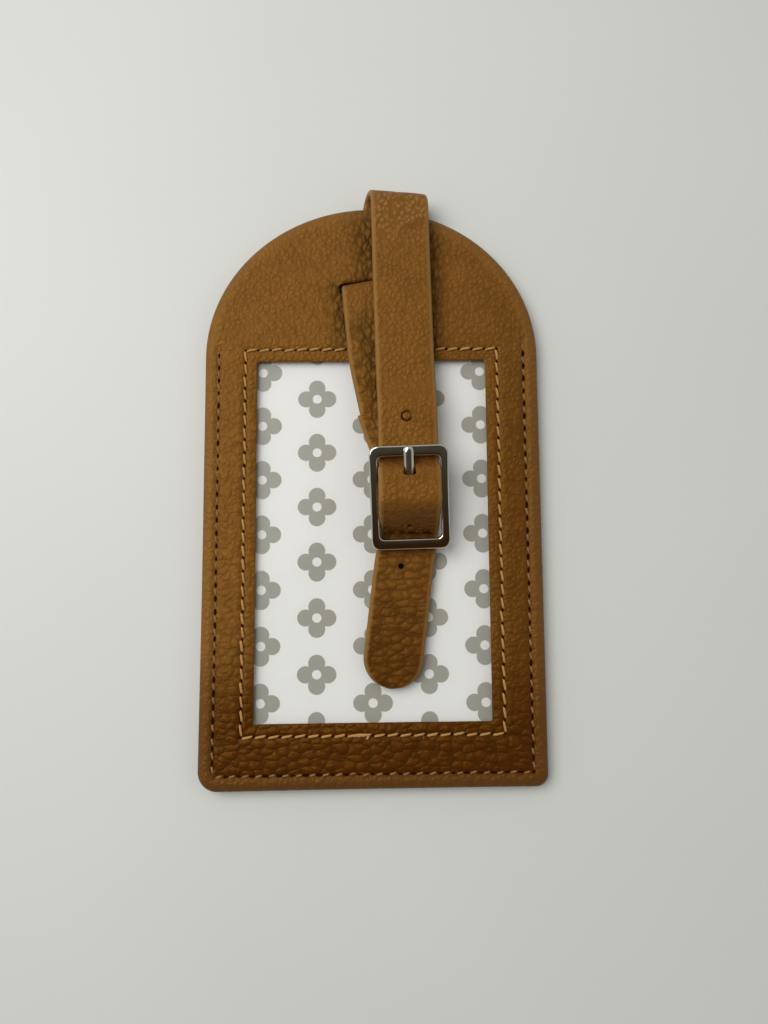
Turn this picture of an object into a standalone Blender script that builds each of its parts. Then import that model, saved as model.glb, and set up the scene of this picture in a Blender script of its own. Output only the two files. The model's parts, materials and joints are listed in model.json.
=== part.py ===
"""Leather luggage tag: stitched card pocket with a window, strap and centre-bar buckle.

The tag lies on its back. X runs across it, Y runs up to the arched end, Z is up.
Shapes are drawn from the middle of the bottom edge, and one empty centres the whole.
"""
import math

import bmesh
import bpy
import numpy as np
from mathutils import Matrix, Vector

MM = 0.001

# Pocket body
BODY_WIDTH = 70.0 * MM
BODY_LENGTH = 121.0 * MM
ARCH_HEIGHT = 32.6 * MM
CORNER_RADIUS = 4.0 * MM
EDGE_ROUND = 0.8 * MM
FACE_THICKNESS = 1.2 * MM
LINING_THICKNESS = 0.7 * MM
LAYER_GAP = 0.1 * MM
BACK_HEIGHT = 92.5 * MM

# Window, film and card
WINDOW_WIDTH = 48.0 * MM
WINDOW_HEIGHT = 74.4 * MM
WINDOW_BOTTOM = 12.9 * MM
WINDOW_CORNER = 0.8 * MM
LINING_SETBACK = 1.0 * MM
FILM_LAP = 5.0 * MM
FILM_CORNER = 1.0 * MM
FILM_THICKNESS = 0.3 * MM
FILM_CLEARANCE = 0.05 * MM
FILM_SIDE_CLEARANCE = 0.15 * MM
CARD_WIDTH = 54.0 * MM
CARD_HEIGHT = 82.0 * MM
CARD_BOTTOM = 8.0 * MM
CARD_CORNER = 1.0 * MM
CARD_THICKNESS = 0.3 * MM
CARD_CLEARANCE = 0.1 * MM
CARD_SIDE_CLEARANCE = 0.3 * MM

# Seams
EDGE_SEAM_INSET = 3.0 * MM
EDGE_SEAM_TOP = 91.3 * MM
WINDOW_SEAM_OUTSET = 2.45 * MM
STITCH_PITCH = 2.7 * MM
THREAD_WIDTH = 0.5 * MM
THREAD_HEIGHT = 0.36 * MM
STITCH_RISE = 0.1 * MM
GROOVE_CLEARANCE = 0.12 * MM

# Strap
STRAP_WIDTH = 12.2 * MM
STRAP_THICKNESS = 1.3 * MM
STRAP_EDGE = 0.35 * MM
STRAP_CLEARANCE = 0.2 * MM
TABLE_CLEARANCE = 0.05 * MM
LEATHER_GAP = 0.25 * MM
SLOT_FROM_TOP = 17.0 * MM
SLOT_X = -0.2 * MM
SLOT_SIDE_CLEARANCE = 1.2 * MM
SLOT_HEIGHT = 3.4 * MM
SLOT_TILT = math.radians(3.0)
SLOT_BEND = 1.3 * MM
SLOT_ROUND_SHARE = 0.45
LOOP_X = 6.2 * MM
LOOP_REACH = 3.2 * MM
LOOP_SLOPE = math.radians(5.0)
FLAP_LENGTH = 18.3 * MM
MOUTH_BEND = 4.0 * MM
STEP_LENGTH = 5.0 * MM
STEP_BEND = 6.0 * MM
TAIL_BEND = 2.5 * MM
TAIL_LENGTH = 26.8 * MM
TAIL_LEAN = math.radians(7.0)
TAIL_SHIFT = 0.9 * MM
TAIL_GAP = 0.3 * MM
TAIL_ROOT_ROUND = 0.585 * MM
HOLE_DIAMETER = 2.5 * MM
FIRST_HOLE = 16.6 * MM
FIRST_HOLE_X = 7.3 * MM
THIRD_HOLE_SHARE = 0.45
LAST_HOLE = 2.5 * MM

# Where the strap lies across the tag as it passes each place, and its yaw there in degrees
FLAP_END_DRIFT = (3.6 * MM, 11.0)
FRAME_EDGE_DRIFT = (5.5 * MM, 10.0)
MOUTH_DRIFT = (7.2 * MM, 2.0)
FLAP_CLEAR_DRIFT = (3.5 * MM, 11.0)
WINDOW_TOP_DRIFT = (1.4 * MM, 9.0)
SLOT_YAW = 6.0
BACK_RUN_DRIFT = (2.4 * MM, -11.0)
FRONT_RUN_DRIFT = (6.6 * MM, 0.5)
STEP_TOP_DRIFT = (7.2 * MM, 1.0)
STEP_FOOT_DRIFT = (7.4 * MM, 0.8)
BILLET_DRIFT = (7.6 * MM, 0.0)
TAIL_TURN_SHIFT = 0.1 * MM
STRAP_END_SHIFT = 0.7 * MM

# Buckle
BUCKLE_X = 7.7 * MM
BUCKLE_Y = 57.7 * MM
BUCKLE_TILT = math.radians(12.0)
FRAME_INSIDE = 12.8 * MM
RAIL_WIDTH = 1.5 * MM
FRAME_LENGTH = 20.4 * MM
END_BAR_WIDTH = 2.2 * MM
FRAME_THICKNESS = 1.8 * MM
FRAME_CORNER = 1.7 * MM
OPENING_CORNER = 0.85 * MM
FRAME_BEVEL = 0.3 * MM
BAR_DIAMETER = 2.0 * MM
TENON_DIAMETER = 1.0 * MM
TENON_LENGTH = 0.9 * MM
PIN_CLEARANCE = 0.12 * MM
EYE_CLEARANCE = 0.15 * MM
BUCKLE_CLEARANCE = 0.25 * MM
BUCKLE_ROCK = math.radians(2.0)
PRONG_WIDTH = 2.0 * MM
PRONG_THICKNESS = 0.9 * MM
PRONG_REACH = 9.7 * MM
PRONG_LIFT = math.radians(10.0)
PRONG_SIDE_CLEARANCE = 0.35 * MM
FOLD_SLOT_WIDTH = 3.2 * MM
FOLD_SLOT_REACH = 5.4 * MM

# Heights above the table, layer by layer
back_thickness = STRAP_THICKNESS + STRAP_CLEARANCE
lining_low = back_thickness + LAYER_GAP
lining_top = lining_low + LINING_THICKNESS
face_low = lining_top + LAYER_GAP
face_top = face_low + FACE_THICKNESS
half_strap = STRAP_THICKNESS / 2
back_run_z = half_strap + TABLE_CLEARANCE
under_run_z = face_top + STRAP_CLEARANCE + half_strap
flap_z = under_run_z + STRAP_THICKNESS + LEATHER_GAP
billet_z = flap_z + STRAP_THICKNESS + LEATHER_GAP
half_frame = FRAME_THICKNESS / 2
bar_to_end = FRAME_LENGTH / 2
bar_to_inside = bar_to_end - END_BAR_WIDTH
frame_drop = half_frame * math.cos(BUCKLE_TILT)
bar_z = (billet_z + half_strap + BUCKLE_CLEARANCE + frame_drop
         - bar_to_inside * math.sin(BUCKLE_TILT))
frame_low = bar_z - bar_to_end * math.sin(BUCKLE_TILT + BUCKLE_ROCK) - frame_drop
tail_z = frame_low - BUCKLE_CLEARANCE - half_strap

# Places along the tag
shoulder = BODY_LENGTH - ARCH_HEIGHT
slot_y = BODY_LENGTH - SLOT_FROM_TOP
loop_end = BODY_LENGTH + LOOP_REACH - half_strap
loop_corner = (STRAP_WIDTH / 2 - STRAP_EDGE) * math.sin(LOOP_SLOPE)
half_length = (BODY_LENGTH + LOOP_REACH + loop_corner) / 2
tail_root_x = BUCKLE_X - TAIL_SHIFT
tail_root_y = BUCKLE_Y - bar_to_end - half_strap - TAIL_GAP

for old in list(bpy.data.objects):
    bpy.data.objects.remove(old, do_unlink=True)


def material(name, colour, roughness, metallic=0.0, alpha=1.0):
    """A Principled material of one colour."""
    made = bpy.data.materials.new(name)
    made.use_nodes = True
    shader = made.node_tree.nodes["Principled BSDF"]
    shader.inputs["Base Color"].default_value = (*colour, 1.0)
    shader.inputs["Roughness"].default_value = roughness
    shader.inputs["Metallic"].default_value = metallic
    shader.inputs["Alpha"].default_value = alpha
    return made


TAN_LEATHER = material("tan_leather", (0.19, 0.09, 0.03), 0.55)
LINING_LEATHER = material("lining_leather", (0.12, 0.06, 0.025), 0.75)
TAN_THREAD = material("tan_thread", (0.42, 0.25, 0.10), 0.7)
CLEAR_FILM = material("clear_film", (0.9, 0.9, 0.9), 0.1, alpha=0.2)
WHITE_CARD = material("white_card", (0.75, 0.75, 0.72), 0.8)
DARK_NICKEL = material("dark_nickel", (0.18, 0.17, 0.16), 0.2, metallic=1.0)


def empty(name, location, parent=None, tilt=0.0, yaw=0.0):
    """A placing empty, turned about X by a tilt and about Z by a yaw."""
    made = bpy.data.objects.new(name, None)
    bpy.context.collection.objects.link(made)
    made.location = location
    made.rotation_euler = (tilt, 0.0, yaw)
    made.parent = parent
    return made


tag_centre = empty("tag_centre", (0.0, -half_length, 0.0))
slot_pivot = empty("slot_pivot", (SLOT_X, slot_y, 0.0), tag_centre)
bar_pivot = empty("bar_pivot", (BUCKLE_X, BUCKLE_Y, bar_z), tag_centre, BUCKLE_TILT)
tail_pivot = empty("tail_pivot", (tail_root_x, tail_root_y, tail_z), tag_centre, yaw=-TAIL_LEAN)


def add_piece(name, bm, finish=None, parent=tag_centre, origin=(0.0, 0.0, 0.0)):
    """Turn a bmesh drawn about the origin point into an object under its parent."""
    bmesh.ops.translate(bm, verts=bm.verts, vec=-Vector(origin))
    bmesh.ops.recalc_face_normals(bm, faces=bm.faces)
    mesh = bpy.data.meshes.new(name)
    bm.to_mesh(mesh)
    bm.free()
    made = bpy.data.objects.new(name, mesh)
    bpy.context.collection.objects.link(made)
    made.parent = parent
    if finish is None:
        made.hide_render = True
        made.display_type = 'WIRE'
    else:
        mesh.materials.append(finish)
    return made


def cut(piece, cutter):
    """Take a cutter's shape out of a piece."""
    modifier = piece.modifiers.new(cutter.name, 'BOOLEAN')
    modifier.operation = 'DIFFERENCE'
    modifier.solver = 'EXACT'
    modifier.object = cutter


def arc(centre, radius, start, end, steps):
    """Points on an arc, with its angles in degrees."""
    angles = [math.radians(start + (end - start) * i / steps) for i in range(steps + 1)]
    return [(centre[0] + radius * math.cos(a), centre[1] + radius * math.sin(a)) for a in angles]


def rounded_rectangle(left, right, bottom, top, radius, steps=4):
    """A rectangle's outline with round corners."""
    return (arc((left + radius, bottom + radius), radius, 180, 270, steps)
            + arc((right - radius, bottom + radius), radius, 270, 360, steps)
            + arc((right - radius, top - radius), radius, 0, 90, steps)
            + arc((left + radius, top - radius), radius, 90, 180, steps))


def body_outline(top=BODY_LENGTH):
    """Straight sides, round bottom corners and a half-elliptic end, cut level at top."""
    half = BODY_WIDTH / 2
    reach = math.asin(min(1.0, (top - shoulder) / ARCH_HEIGHT))
    steps = 16
    climb = [reach * i / steps for i in range(steps + 1)]
    right = [(half * math.cos(a), shoulder + ARCH_HEIGHT * math.sin(a)) for a in climb]
    left = [(-x, y) for x, y in reversed(right) if x > 0.01 * MM]
    return (arc((-half + CORNER_RADIUS, CORNER_RADIUS), CORNER_RADIUS, 180, 270, 5)
            + arc((half - CORNER_RADIUS, CORNER_RADIUS), CORNER_RADIUS, 270, 360, 5)
            + right + left)


def plate(outline, low, high):
    """An outline in X and Y, drawn up from low to high."""
    bm = bmesh.new()
    face = bm.faces.new([bm.verts.new((x, y, low)) for x, y in outline])
    raised = bmesh.ops.extrude_face_region(bm, geom=[face])
    top = [v for v in raised["geom"] if isinstance(v, bmesh.types.BMVert)]
    bmesh.ops.translate(bm, verts=top, vec=(0, 0, high - low))
    return bm


def round_edge(bm, level, radius, segments=3):
    """Round the edges that lie at one level."""
    edges = [e for e in bm.edges if all(abs(v.co.z - level) < 1e-6 for v in e.verts)]
    bmesh.ops.bevel(bm, geom=edges, offset=radius, segments=segments, affect='EDGES', profile=0.5)


def skin(rings, closed):
    """Join a list of rings of points into one closed body."""
    bm = bmesh.new()
    made = [[bm.verts.new(p) for p in ring] for ring in rings]
    pairs = list(zip(made, made[1:]))
    if closed:
        pairs.append((made[-1], made[0]))
    for first, second in pairs:
        for i in range(len(first)):
            j = (i + 1) % len(first)
            bm.faces.new((first[i], first[j], second[j], second[i]))
    if not closed:
        bm.faces.new(reversed(made[0]))
        bm.faces.new(made[-1])
    return bm


def seam_bar(route, closed, width, low, high):
    """A flat bar along a route in X and Y, with mitred corners and a height at each point."""
    points = np.array(route)
    if closed:
        before = points - np.roll(points, 1, axis=0)
        after = np.roll(points, -1, axis=0) - points
    else:
        steps = np.diff(points, axis=0)
        before = np.vstack([steps[:1], steps])
        after = np.vstack([steps, steps[-1:]])
    before /= np.linalg.norm(before, axis=1)[:, None]
    after /= np.linalg.norm(after, axis=1)[:, None]
    side = np.column_stack([-(before + after)[:, 1], (before + after)[:, 0]])
    side /= (1 + np.sum(before * after, axis=1))[:, None]
    left = points + side * width / 2
    right = points - side * width / 2
    low = np.broadcast_to(low, len(points))
    high = np.broadcast_to(high, len(points))
    rings = [[(*l, a), (*r, a), (*r, b), (*l, b)] for l, r, a, b in zip(left, right, low, high)]
    return skin(rings, closed)


def stitched(corners, closed):
    """Points every half stitch along straight runs between corners, a hole at each corner."""
    ends = list(zip(corners, corners[1:] + corners[:1] if closed else corners[1:]))
    route = []
    for start, end in ends:
        count = 2 * max(1, round(math.dist(start, end) / STITCH_PITCH))
        route += [tuple(np.array(start) + (np.array(end) - start) * i / count) for i in range(count)]
    if not closed:
        route.append(corners[-1])
    return route


def sew(name, corners, closed, face, level, up):
    """Press a groove into a face and lay a thread in it that dips at every hole."""
    route = stitched(corners, closed)
    dip = np.where(np.arange(len(route)) % 2 == 0, -STITCH_RISE, STITCH_RISE)
    middle = level - up * (THREAD_HEIGHT / 2 + STITCH_RISE) + up * dip
    thread = seam_bar(route, closed, THREAD_WIDTH, middle - THREAD_HEIGHT / 2, middle + THREAD_HEIGHT / 2)
    add_piece(name, thread, TAN_THREAD)
    groove_width = THREAD_WIDTH + 2 * GROOVE_CLEARANCE
    groove_floor = level - up * (THREAD_HEIGHT + 2 * STITCH_RISE + GROOVE_CLEARANCE)
    sides = sorted((groove_floor, level + up * THREAD_HEIGHT))
    run = list(corners)
    if not closed:
        run[0] = (run[0][0], run[0][1] + groove_width)
        run[-1] = (run[-1][0], run[-1][1] + groove_width)
    cut(face, add_piece(name + "_groove", seam_bar(run, closed, groove_width, *sides)))


# Window and slot cutters, shared by the face and its lining
window_box = (-WINDOW_WIDTH / 2, WINDOW_WIDTH / 2, WINDOW_BOTTOM, WINDOW_BOTTOM + WINDOW_HEIGHT)


def window_outline(margin, radius):
    """The window's outline, grown by a margin on every side."""
    left, right, bottom, top = window_box
    return rounded_rectangle(left - margin, right + margin, bottom - margin, top + margin, radius)


slot_half = STRAP_WIDTH / 2 + SLOT_SIDE_CLEARANCE
slot_outline = rounded_rectangle(-slot_half, slot_half, -SLOT_HEIGHT / 2, SLOT_HEIGHT / 2,
                                 SLOT_ROUND_SHARE * SLOT_HEIGHT, 6)
slot_turn = Matrix.Translation((SLOT_X, slot_y, 0)) @ Matrix.Rotation(SLOT_TILT, 4, 'Z')
slot_shape = plate(slot_outline, 0.0, 2 * face_top)
slot_shape.transform(slot_turn)
slot_cutter = add_piece("slot_cutter", slot_shape)

# Back panel: a square-topped sheet with a shallow bed for the card, open at the top
back_panel = add_piece("back_panel", plate(body_outline(BACK_HEIGHT), 0.0, back_thickness), TAN_LEATHER)
bed_depth = CARD_THICKNESS + 2 * CARD_CLEARANCE
bed_half = CARD_WIDTH / 2 + CARD_SIDE_CLEARANCE
bed_bottom = CARD_BOTTOM - CARD_SIDE_CLEARANCE
bed = [(-bed_half, bed_bottom), (bed_half, bed_bottom),
       (bed_half, 2 * BACK_HEIGHT), (-bed_half, 2 * BACK_HEIGHT)]
cut(back_panel, add_piece("card_bed", plate(bed, back_thickness - bed_depth, lining_top)))

# Insert card
card_low = back_thickness - bed_depth + CARD_CLEARANCE
card_half = CARD_WIDTH / 2
card = rounded_rectangle(-card_half, card_half, CARD_BOTTOM, CARD_BOTTOM + CARD_HEIGHT, CARD_CORNER)
add_piece("insert_card", plate(card, card_low, card_low + CARD_THICKNESS), WHITE_CARD)

# Lining: carries the window film in a shallow bed
lining = add_piece("front_lining", plate(body_outline(), lining_low, lining_top), LINING_LEATHER)
film_low = lining_top - FILM_CLEARANCE - FILM_THICKNESS
film_bed = window_outline(FILM_LAP + FILM_SIDE_CLEARANCE, FILM_CORNER + FILM_SIDE_CLEARANCE)
cut(lining, add_piece("film_bed", plate(film_bed, film_low - FILM_CLEARANCE, face_top)))
lining_window = window_outline(LINING_SETBACK, WINDOW_CORNER)
cut(lining, add_piece("lining_window", plate(lining_window, 0.0, face_top)))
cut(lining, slot_cutter)
film = plate(window_outline(FILM_LAP, FILM_CORNER), film_low, film_low + FILM_THICKNESS)
add_piece("window_film", film, CLEAR_FILM)

# Face: the arched leather front with its window, slot and rolled edge
face_shape = plate(body_outline(), face_low, face_top)
round_edge(face_shape, face_top, EDGE_ROUND)
front_panel = add_piece("front_panel", face_shape, TAN_LEATHER)
cut(front_panel, add_piece("face_window", plate(window_outline(0.0, WINDOW_CORNER), 0.0, 2 * face_top)))
cut(front_panel, slot_cutter)

# Seams
left, right, bottom, top = window_box
out = WINDOW_SEAM_OUTSET
window_corners = [(left - out, bottom - out), (right + out, bottom - out),
                  (right + out, top + out), (left - out, top + out)]
sew("window_seam", window_corners, True, front_panel, face_top, 1)
edge = BODY_WIDTH / 2 - EDGE_SEAM_INSET
edge_corners = [(-edge, EDGE_SEAM_TOP), (-edge, EDGE_SEAM_INSET),
                (edge, EDGE_SEAM_INSET), (edge, EDGE_SEAM_TOP)]
sew("edge_seam_front", edge_corners, False, front_panel, face_top, 1)
sew("edge_seam_back", edge_corners, False, back_panel, 0.0, -1)

# Strap route, in the upright plane along Y, about the buckle's bar
eye_radius = BAR_DIAMETER / 2 + EYE_CLEARANCE
fold_radius = eye_radius + half_strap
hump_radius = fold_radius + STRAP_THICKNESS + LEATHER_GAP
bar = np.array((BUCKLE_Y, bar_z))
turn_in = bar_to_inside - half_strap - STRAP_CLEARANCE
billet_turn = np.array((BUCKLE_Y + turn_in, billet_z))
flap_turn = np.array((BUCKLE_Y + turn_in, flap_z))
under_turn = np.array((BUCKLE_Y + turn_in, under_run_z))
tail_turn = np.array((BUCKLE_Y - turn_in, tail_z))


def tangent_angle(point, radius, side):
    """Angle on a circle round the bar where the line from a point touches it."""
    away = point - bar
    return math.atan2(away[1], away[0]) + side * math.acos(radius / np.linalg.norm(away))


def round_bar(radius, start, end):
    """Where the tangents at two angles of a circle round the bar meet."""
    middle = (start + end) / 2
    reach = radius / math.cos((end - start) / 2)
    return bar + reach * np.array((math.cos(middle), math.sin(middle)))


flap_touch = tangent_angle(flap_turn, fold_radius, 1)
under_touch = tangent_angle(under_turn, fold_radius, -1) + 2 * math.pi
fold_middle = (flap_touch + under_touch) / 2
billet_touch = tangent_angle(billet_turn, hump_radius, 1)
tail_touch = tangent_angle(tail_turn, hump_radius, -1)
if tail_touch < billet_touch:
    tail_touch += 2 * math.pi
front_run_z = under_run_z + STRAP_THICKNESS + LEATHER_GAP
loop_radius = (front_run_z - back_run_z) / 2
flap_end_y = BUCKLE_Y + FLAP_LENGTH
flap_clear = flap_end_y + STRAP_THICKNESS
frame_clear = BUCKLE_Y + bar_to_end + STRAP_THICKNESS
strap_end_y = tail_root_y + half_strap + TAIL_GAP
tail_yaw = -math.degrees(TAIL_LEAN)
loop_yaw = -math.degrees(LOOP_SLOPE)

# Each turn of the strap: place along Y and Z, place across X, yaw in degrees, bend radius
TURNS = [
    ((flap_end_y, flap_z), *FLAP_END_DRIFT, 0.0),
    ((frame_clear, flap_z), *FRAME_EDGE_DRIFT, 0.0),
    (flap_turn, *MOUTH_DRIFT, MOUTH_BEND),
    (round_bar(fold_radius, flap_touch, fold_middle), BUCKLE_X, 0.0, fold_radius),
    (round_bar(fold_radius, fold_middle, under_touch), BUCKLE_X, 0.0, fold_radius),
    (under_turn, *MOUTH_DRIFT, MOUTH_BEND),
    ((frame_clear, under_run_z), *FRAME_EDGE_DRIFT, 0.0),
    ((flap_clear, under_run_z), *FLAP_CLEAR_DRIFT, 0.0),
    ((WINDOW_BOTTOM + WINDOW_HEIGHT, under_run_z), *WINDOW_TOP_DRIFT, 0.0),
    ((slot_y, under_run_z), SLOT_X, SLOT_YAW, SLOT_BEND),
    ((slot_y, back_run_z), SLOT_X, 0.0, SLOT_BEND),
    (((slot_y + loop_end) / 2, back_run_z), *BACK_RUN_DRIFT, 0.0),
    ((loop_end, back_run_z), LOOP_X, loop_yaw, loop_radius),
    ((loop_end, front_run_z), LOOP_X, loop_yaw, loop_radius),
    ((slot_y, front_run_z), *FRONT_RUN_DRIFT, 0.0),
    ((flap_clear + STEP_LENGTH, front_run_z), *STEP_TOP_DRIFT, STEP_BEND),
    ((flap_clear, billet_z), *STEP_FOOT_DRIFT, STEP_BEND),
    (billet_turn, *BILLET_DRIFT, MOUTH_BEND),
    (round_bar(hump_radius, billet_touch, tail_touch), BUCKLE_X, 0.0, hump_radius),
    (tail_turn, BUCKLE_X - TAIL_TURN_SHIFT, 0.0, TAIL_BEND),
    ((strap_end_y, tail_z), BUCKLE_X - STRAP_END_SHIFT, tail_yaw, 0.0),
]


# A bend's share of the keys, which count 1 from turn to turn
BEND_KEYS = 0.2


def bent_route(turns, straight_step, bend_step):
    """Points along the turns, each bend an arc; a key runs from turn to turn."""
    places = [np.array(t[0]) for t in turns]
    points, keys = [places[0]], [0.0]
    for i in range(1, len(turns) - 1):
        into = places[i] - places[i - 1]
        leave = places[i + 1] - places[i]
        into /= np.linalg.norm(into)
        leave /= np.linalg.norm(leave)
        angle = math.acos(max(-1.0, min(1.0, float(into @ leave))))
        tangent = turns[i][3] * math.tan(angle / 2)
        steps = max(1, math.ceil(angle / bend_step))
        inward = leave - into
        if tangent > 0:
            centre = places[i] + inward / np.linalg.norm(inward) * turns[i][3] / math.cos(angle / 2)
            start = places[i] - into * tangent - centre
            bend = [centre + start * math.cos(angle * k / steps)
                    + into * turns[i][3] * math.sin(angle * k / steps) for k in range(steps + 1)]
        else:
            bend = [places[i]]
        points += bend
        keys += [i + BEND_KEYS * (k / steps - 0.5) for k in range(len(bend))] if len(bend) > 1 else [float(i)]
    points.append(places[-1])
    keys.append(len(turns) - 1.0)
    filled, filled_keys = [points[0]], [keys[0]]
    for a, b, ka, kb in zip(points, points[1:], keys, keys[1:]):
        length = np.linalg.norm(b - a)
        if length < LEATHER_GAP / 10:
            continue
        count = math.ceil(length / straight_step)
        for k in range(1, count + 1):
            filled.append(a + (b - a) * k / count)
            filled_keys.append(ka + (kb - ka) * k / count)
    return np.array(filled), np.array(filled_keys)


def strap_section(width, thickness, edge_cut):
    """The strap's section: a flat bar with its edges taken off."""
    w, t, e = width / 2, thickness / 2, edge_cut
    return [(-w + e, -t), (w - e, -t), (w, -t + e), (w, t - e),
            (w - e, t), (-w + e, t), (-w, t - e), (-w, -t + e)]


def strap_body():
    """Carry the strap's section along its route, level across at every point."""
    route, keys = bent_route(TURNS, 4.0 * MM, math.radians(16))
    order = np.arange(len(TURNS))
    across = np.interp(keys, order, [t[1] for t in TURNS])
    yaw = np.radians(np.interp(keys, order, [t[2] for t in TURNS]))
    points = np.column_stack([across, route])
    steps = np.diff(points, axis=0)
    steps /= np.linalg.norm(steps, axis=1)[:, None]
    along = np.vstack([steps[:1], steps[1:] + steps[:-1], steps[-1:]])
    flat = np.column_stack([np.cos(yaw), np.sin(yaw), np.zeros(len(yaw))])
    normal = np.cross(flat, along)
    normal /= np.linalg.norm(normal, axis=1)[:, None]
    section = strap_section(STRAP_WIDTH, STRAP_THICKNESS, STRAP_EDGE)
    rings = [[tuple(p + w * f + h * n) for w, h in section] for p, f, n in zip(points, flat, normal)]
    return skin(rings, False)


strap = add_piece("strap", strap_body(), TAN_LEATHER, slot_pivot, (SLOT_X, slot_y, 0.0))


def upright_cutter(name, outline, low, high, place, slope):
    """A cutter drawn flat, then tipped about X by a slope and put in place on the strap."""
    shape = plate(outline, low, high)
    shape.transform(Matrix.Translation(place) @ Matrix.Rotation(slope, 4, 'X'))
    return add_piece(name, shape)


# Holes in the strap
hole_outline = arc((0.0, 0.0), HOLE_DIAMETER / 2, 0, 345, 23)
punch = 2 * STRAP_THICKNESS
hole_floor = -half_strap - LEATHER_GAP / 2
first_hole = (FIRST_HOLE_X, BUCKLE_Y + FIRST_HOLE, billet_z)
cut(strap, upright_cutter("first_hole", hole_outline, hole_floor, punch, first_hole, 0.0))

tail_contact = bar + hump_radius * np.array((math.cos(tail_touch), math.sin(tail_touch)))
fall = tail_contact - tail_turn
third_hole = tail_turn + THIRD_HOLE_SHARE * fall
third_place = (BUCKLE_X, *third_hole)
fall_slope = math.atan2(fall[1], fall[0])
cut(strap, upright_cutter("third_hole", hole_outline, -punch, punch, third_place, fall_slope))

# The used hole is drawn out by the prong, which crosses the strap at a slant
billet_contact = bar + hump_radius * np.array((math.cos(billet_touch), math.sin(billet_touch)))
climb = billet_turn - billet_contact
climb_slope = math.atan2(climb[1], climb[0])
prong_low = half_frame + PIN_CLEARANCE
prong_middle = prong_low + PRONG_THICKNESS / 2


def prong_crossing(angle):
    """How far along the climb the prong's middle line crosses it, at one angle."""
    direction = np.array((math.cos(angle), math.sin(angle)))
    start = bar + prong_middle * np.array((-math.sin(angle), math.cos(angle)))
    unit = climb / np.linalg.norm(climb)
    return np.linalg.solve(np.column_stack([unit, -direction]), start - billet_contact)[0]


rest_cross = prong_crossing(BUCKLE_TILT)
lift_cross = prong_crossing(BUCKLE_TILT + BUCKLE_ROCK + PRONG_LIFT)
slant = BUCKLE_TILT - climb_slope
cross_length = (PRONG_THICKNESS + STRAP_THICKNESS * math.cos(slant)) / math.sin(slant)
slit_half = (abs(rest_cross - lift_cross) + cross_length) / 2 + PRONG_SIDE_CLEARANCE
slit_wide = PRONG_WIDTH / 2 + PRONG_SIDE_CLEARANCE
slit_middle = billet_contact + climb / np.linalg.norm(climb) * (rest_cross + lift_cross) / 2
slit_round = SLOT_ROUND_SHARE * 2 * slit_wide
slit = rounded_rectangle(-slit_wide, slit_wide, -slit_half, slit_half, slit_round, 6)
slit_place = (BUCKLE_X, *slit_middle)
cut(strap, upright_cutter("prong_hole", slit, -half_strap - 3 * LEATHER_GAP, punch, slit_place, climb_slope))

# The fold is slotted for the prong's ring and arm
gap_radius = fold_radius + half_strap + LEATHER_GAP / 2
gap_turn = (flap_turn + billet_turn) / 2
gap_touch = tangent_angle(gap_turn, gap_radius, 1)
gap_contact = bar + gap_radius * np.array((math.cos(gap_touch), math.sin(gap_touch)))
gap_run = (gap_turn - gap_contact) / (gap_turn - gap_contact)[0]
slot_far = gap_contact + gap_run * (BUCKLE_Y + FOLD_SLOT_REACH - gap_contact[0])
fold_slot = arc(tuple(bar), gap_radius, math.degrees(gap_touch), 300, 12)
fold_slot += [(BUCKLE_Y + gap_radius, bar_z - eye_radius),
              (slot_far[0], slot_far[1] - STRAP_THICKNESS - 2 * LEATHER_GAP), tuple(slot_far)]
slot_rings = [[(BUCKLE_X + side * FOLD_SLOT_WIDTH / 2, y, z) for y, z in fold_slot] for side in (-1, 1)]
cut(strap, add_piece("fold_slot", skin(slot_rings, False)))

# Tail: the free end past the buckle, rounded where it bends up
tail_half = STRAP_WIDTH / 2
tail_outline = [(tail_half, half_strap), (-tail_half, half_strap)]
tail_outline += arc((0.0, -TAIL_LENGTH + tail_half), tail_half, 180, 360, 16)
tail_shape = plate(tail_outline, -half_strap, half_strap)


def at_root(edge):
    """Whether an edge runs level across the tail's root."""
    start, end = (v.co for v in edge.verts)
    return abs(start.z - end.z) < 1e-6 and abs(start.y - half_strap) < 1e-6 and abs(end.y - half_strap) < 1e-6


root_edges = [e for e in tail_shape.edges if at_root(e)]
bmesh.ops.bevel(tail_shape, geom=root_edges, offset=TAIL_ROOT_ROUND, segments=4, affect='EDGES', profile=0.5)
strap_tail = add_piece("strap_tail", tail_shape, TAN_LEATHER, tail_pivot)
last_hole = add_piece("last_hole", plate(hole_outline, -punch, punch), parent=tail_pivot)
last_hole.location.y = -LAST_HOLE
cut(strap_tail, last_hole)

# Buckle frame, pressed flat bar and prong, all drawn about the bar
frame_half = FRAME_INSIDE / 2 + RAIL_WIDTH
frame_shape = plate(rounded_rectangle(-frame_half, frame_half, -bar_to_end, bar_to_end, FRAME_CORNER, 5),
                    -half_frame, half_frame)
round_edge(frame_shape, half_frame, FRAME_BEVEL, 2)
buckle_frame = add_piece("buckle_frame", frame_shape, DARK_NICKEL, bar_pivot)
inside_half = FRAME_INSIDE / 2
opening = rounded_rectangle(-inside_half, inside_half, -bar_to_inside, bar_to_inside, OPENING_CORNER, 5)
opening_shape = plate(opening, -FRAME_THICKNESS, FRAME_THICKNESS)
cut(buckle_frame, add_piece("frame_opening", opening_shape, parent=bar_pivot))


def bar_along_x(steps):
    """A turned bar along X from a list of half length and radius steps."""
    rings = []
    for x, radius in steps:
        rings.append([(x, y, z) for y, z in arc((0.0, 0.0), radius, 0, 360 * 15 / 16, 15)])
    return skin(rings, False)


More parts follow.
